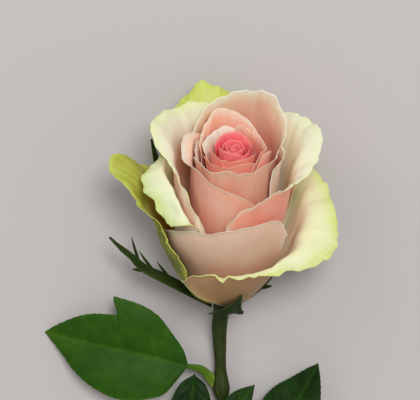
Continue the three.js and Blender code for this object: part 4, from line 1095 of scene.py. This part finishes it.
VIEW_LIFT = 58.0  # degrees between the view and the bloom's axis
VIEW_ROLL = 3.0  # degrees
VIEW_DISTANCE = 750.0  # mm from the hip to the camera
VIEW_SPAN = 168.0  # mm, the width of the view at the hip
HIP_RIGHT = 5.8  # mm that the hip lies right of the middle of the view
HIP_BELOW = 40.8  # mm that it lies below the middle
SENSOR_WIDTH = 36.0  # mm
FLOOR_HALF = 6.0  # metres from the middle of the floor to its sides
LIGHT_AIM = (0.0, 0.10, 0.03)
LIGHTS = {  # name: (place, size), in metres
    "key": ((0.3, 0.75, 1.75), 0.7),
    "side": ((-1.0, 1.1, 1.2), 0.8),
}


def make_stage(settings):
    floor_mesh = bpy.data.meshes.new("floor")
    corners = [(x * FLOOR_HALF, y * FLOOR_HALF, 0) for x, y in ((-1, -1), (1, -1), (1, 1), (-1, 1))]
    floor_mesh.from_pydata(corners, [], [(0, 1, 2, 3)])
    floor_mesh.materials.append(Shader("floor_paper").finish(
        Base_Color=(*settings.floor_colour, 1), Roughness=0.9, Specular_IOR_Level=0.1))
    floor = placed("floor", floor_mesh)

    world = bpy.data.worlds.new("studio")
    world.use_nodes = True
    background = world.node_tree.nodes["Background"]
    background.inputs["Color"].default_value = (1.0, 0.98, 0.96, 1)
    background.inputs["Strength"].default_value = settings.fill
    bpy.context.scene.world = world
    bpy.context.scene.view_settings.view_transform = "Standard"

    for name, (place, size) in LIGHTS.items():
        light = bpy.data.lights.new(name + "_light", "AREA")
        light.shape = "DISK"
        light.size = size
        light.energy = getattr(settings, name)
        lamp = placed(name + "_light", light)
        lamp.location = place
        lamp.rotation_euler = (Vector(LIGHT_AIM) - Vector(place)).to_track_quat("-Z", "Y").to_euler()

    lift = math.radians(VIEW_LIFT)
    towards = np.array([0, math.sin(lift), math.cos(lift)])
    up = np.array([0, -math.cos(lift), math.sin(lift)])
    right = np.array([1.0, 0, 0])
    r = math.radians(VIEW_ROLL)
    right, up = right * math.cos(r) + up * math.sin(r), up * math.cos(r) - right * math.sin(r)
    eye = to_world(up * HIP_BELOW - right * HIP_RIGHT + towards * VIEW_DISTANCE)
    zero = to_world(np.zeros(3))
    right, up, towards = (to_world(x) - zero for x in (right, up, towards))
    camera_data = bpy.data.cameras.new("view")
    camera = placed("view", camera_data)
    m = Matrix.Identity(4)
    for row in range(3):
        m[row][0], m[row][1], m[row][2], m[row][3] = right[row], up[row], towards[row], eye[row] * MM
    camera.matrix_world = m
    camera_data.sensor_width = SENSOR_WIDTH
    camera_data.lens = SENSOR_WIDTH * VIEW_DISTANCE / VIEW_SPAN
    camera_data.clip_start = 0.01
    camera_data.clip_end = 20.0
    bpy.context.scene.camera = camera


# ------------------------------------------------------------------ settings

class RoseBloomSettings(bpy.types.PropertyGroup):
    thickness: bpy.props.FloatProperty(
        name="Petal thickness", default=0.42,
        description="Thickness of a petal in its middle, in millimetres")
    roll: bpy.props.FloatProperty(name="Rim roll", description="How far the rims roll out", default=1.0)
    waves: bpy.props.FloatProperty(name="Waves", description="How wavy the petals are", default=1.0)
    across: bpy.props.IntProperty(name="Columns", description="Mesh columns across a petal", default=64)
    upward: bpy.props.IntProperty(name="Rows", description="Mesh rows from foot to rim", default=56)


class RoseSepalSettings(bpy.types.PropertyGroup):
    thickness: bpy.props.FloatProperty(
        name="Sepal thickness", description="Thickness of a sepal, in millimetres", default=0.5)
    curl: bpy.props.FloatProperty(name="Curl", description="How far the margins curl back", default=1.0)
    hairs: bpy.props.IntProperty(name="Hairs", description="Hairs along each margin", default=60)
    hair_length: bpy.props.FloatProperty(
        name="Hair length", description="Length of a hair", default=0.0007, unit="LENGTH")


class RoseStemSettings(bpy.types.PropertyGroup):
    sides: bpy.props.IntProperty(name="Sides", description="Points round the stem", default=40)
    bump: bpy.props.FloatProperty(
        name="Bump", description="Depth of the skin's ribs", default=0.0003, unit="LENGTH")
    prickles: bpy.props.IntProperty(name="Prickles", description="How many prickles", default=9)
    prickle_length: bpy.props.FloatProperty(
        name="Prickle length", description="Length of a prickle", default=0.0046, unit="LENGTH")
    seed: bpy.props.IntProperty(name="Seed", description="Seed that places the prickles", default=4)


class RoseLeafSettings(bpy.types.PropertyGroup):
    thickness: bpy.props.FloatProperty(
        name="Leaf thickness", description="Thickness of a leaflet, in millimetres", default=0.36)
    teeth: bpy.props.IntProperty(name="Teeth", description="Teeth along each margin", default=24)
    tooth_depth: bpy.props.FloatProperty(
        name="Tooth depth", description="Depth of a tooth, in millimetres", default=0.2)
    veins: bpy.props.FloatProperty(name="Veins", description="Side veins along each half", default=8.0)
    relief: bpy.props.FloatProperty(
        name="Relief", description="Height of the blade between its veins, in millimetres", default=0.34)
    fold: bpy.props.FloatProperty(name="Fold", description="Lift of the two halves, in degrees", default=10.0)
    across: bpy.props.IntProperty(name="Columns", description="Mesh columns in each half", default=18)


class RoseStageSettings(bpy.types.PropertyGroup):
    floor_colour: bpy.props.FloatVectorProperty(
        name="Floor", description="Colour of the floor", subtype="COLOR", default=(0.515, 0.486, 0.478))
    fill: bpy.props.FloatProperty(name="Fill", description="Strength of the even light", default=0.5)
    key: bpy.props.FloatProperty(name="Key", description="Power of the key light", default=21.0, unit="POWER")
    side: bpy.props.FloatProperty(
        name="Side", description="Power of the side light", default=3.0, unit="POWER")


class ROSE_OT_bloom(bpy.types.Operator):
    """Make every petal of the bloom"""
    bl_idname = "rose.bloom"
    bl_label = "Bloom"

    def execute(self, context):
        for node in PETALS:
            make_petal(node, context.scene.rose_bloom)
        return {"FINISHED"}


class ROSE_OT_sepals(bpy.types.Operator):
    """Make the five sepals with their hairs"""
    bl_idname = "rose.sepals"
    bl_label = "Sepals"

    def execute(self, context):
        for k, node in enumerate(SEPALS):
            make_sepal(node, context.scene.rose_sepals, SEPAL_SEED + k)
        return {"FINISHED"}


class ROSE_OT_stem(bpy.types.Operator):
    """Make the hip and the prickly stem"""
    bl_idname = "rose.stem"
    bl_label = "Stem"

    def execute(self, context):
        make_stem(context.scene.rose_stem)
        return {"FINISHED"}


class ROSE_OT_leaves(bpy.types.Operator):
    """Make the leaflets and the leaf stalks"""
    bl_idname = "rose.leaves"
    bl_label = "Leaves"

    def execute(self, context):
        for k, node in enumerate(["leaf_a_terminal", *LEAFLETS]):
            make_leaflet(node, context.scene.rose_leaves, LEAFLET_SEED + k)
        for k, node in enumerate(STALKS):
            make_stalk(node, STALK_SEED + k)
        return {"FINISHED"}


class ROSE_OT_stage(bpy.types.Operator):
    """Make the floor, lights and camera"""
    bl_idname = "rose.stage"
    bl_label = "Stage"

    def execute(self, context):
        make_stage(context.scene.rose_stage)
        return {"FINISHED"}


class ROSE_PT_panel(bpy.types.Panel):
    bl_idname = "ROSE_PT_panel"
    bl_label = "Cut Rose"
    bl_space_type = "VIEW_3D"
    bl_region_type = "UI"
    bl_category = "Rose"

    def draw(self, context):
        for operator in ("rose.bloom", "rose.sepals", "rose.stem", "rose.leaves", "rose.stage"):
            self.layout.operator(operator)


GROUPS = {
    "rose_bloom": RoseBloomSettings,
    "rose_sepals": RoseSepalSettings,
    "rose_stem": RoseStemSettings,
    "rose_leaves": RoseLeafSettings,
    "rose_stage": RoseStageSettings,
}
CLASSES = (*GROUPS.values(), ROSE_OT_bloom, ROSE_OT_sepals, ROSE_OT_stem, ROSE_OT_leaves, ROSE_OT_stage,
           ROSE_PT_panel)


def register():
    for each in CLASSES:
        bpy.utils.register_class(each)
    for name, group in GROUPS.items():
        setattr(bpy.types.Scene, name, bpy.props.PointerProperty(type=group))


def unregister():
    for name in GROUPS:
        delattr(bpy.types.Scene, name)
    for each in reversed(CLASSES):
        bpy.utils.unregister_class(each)


def main():
    register()
    bpy.ops.rose.bloom()
    bpy.ops.rose.sepals()
    bpy.ops.rose.stem()
    bpy.ops.rose.leaves()
    bpy.ops.rose.stage()


if __name__ == "__main__":
    main()
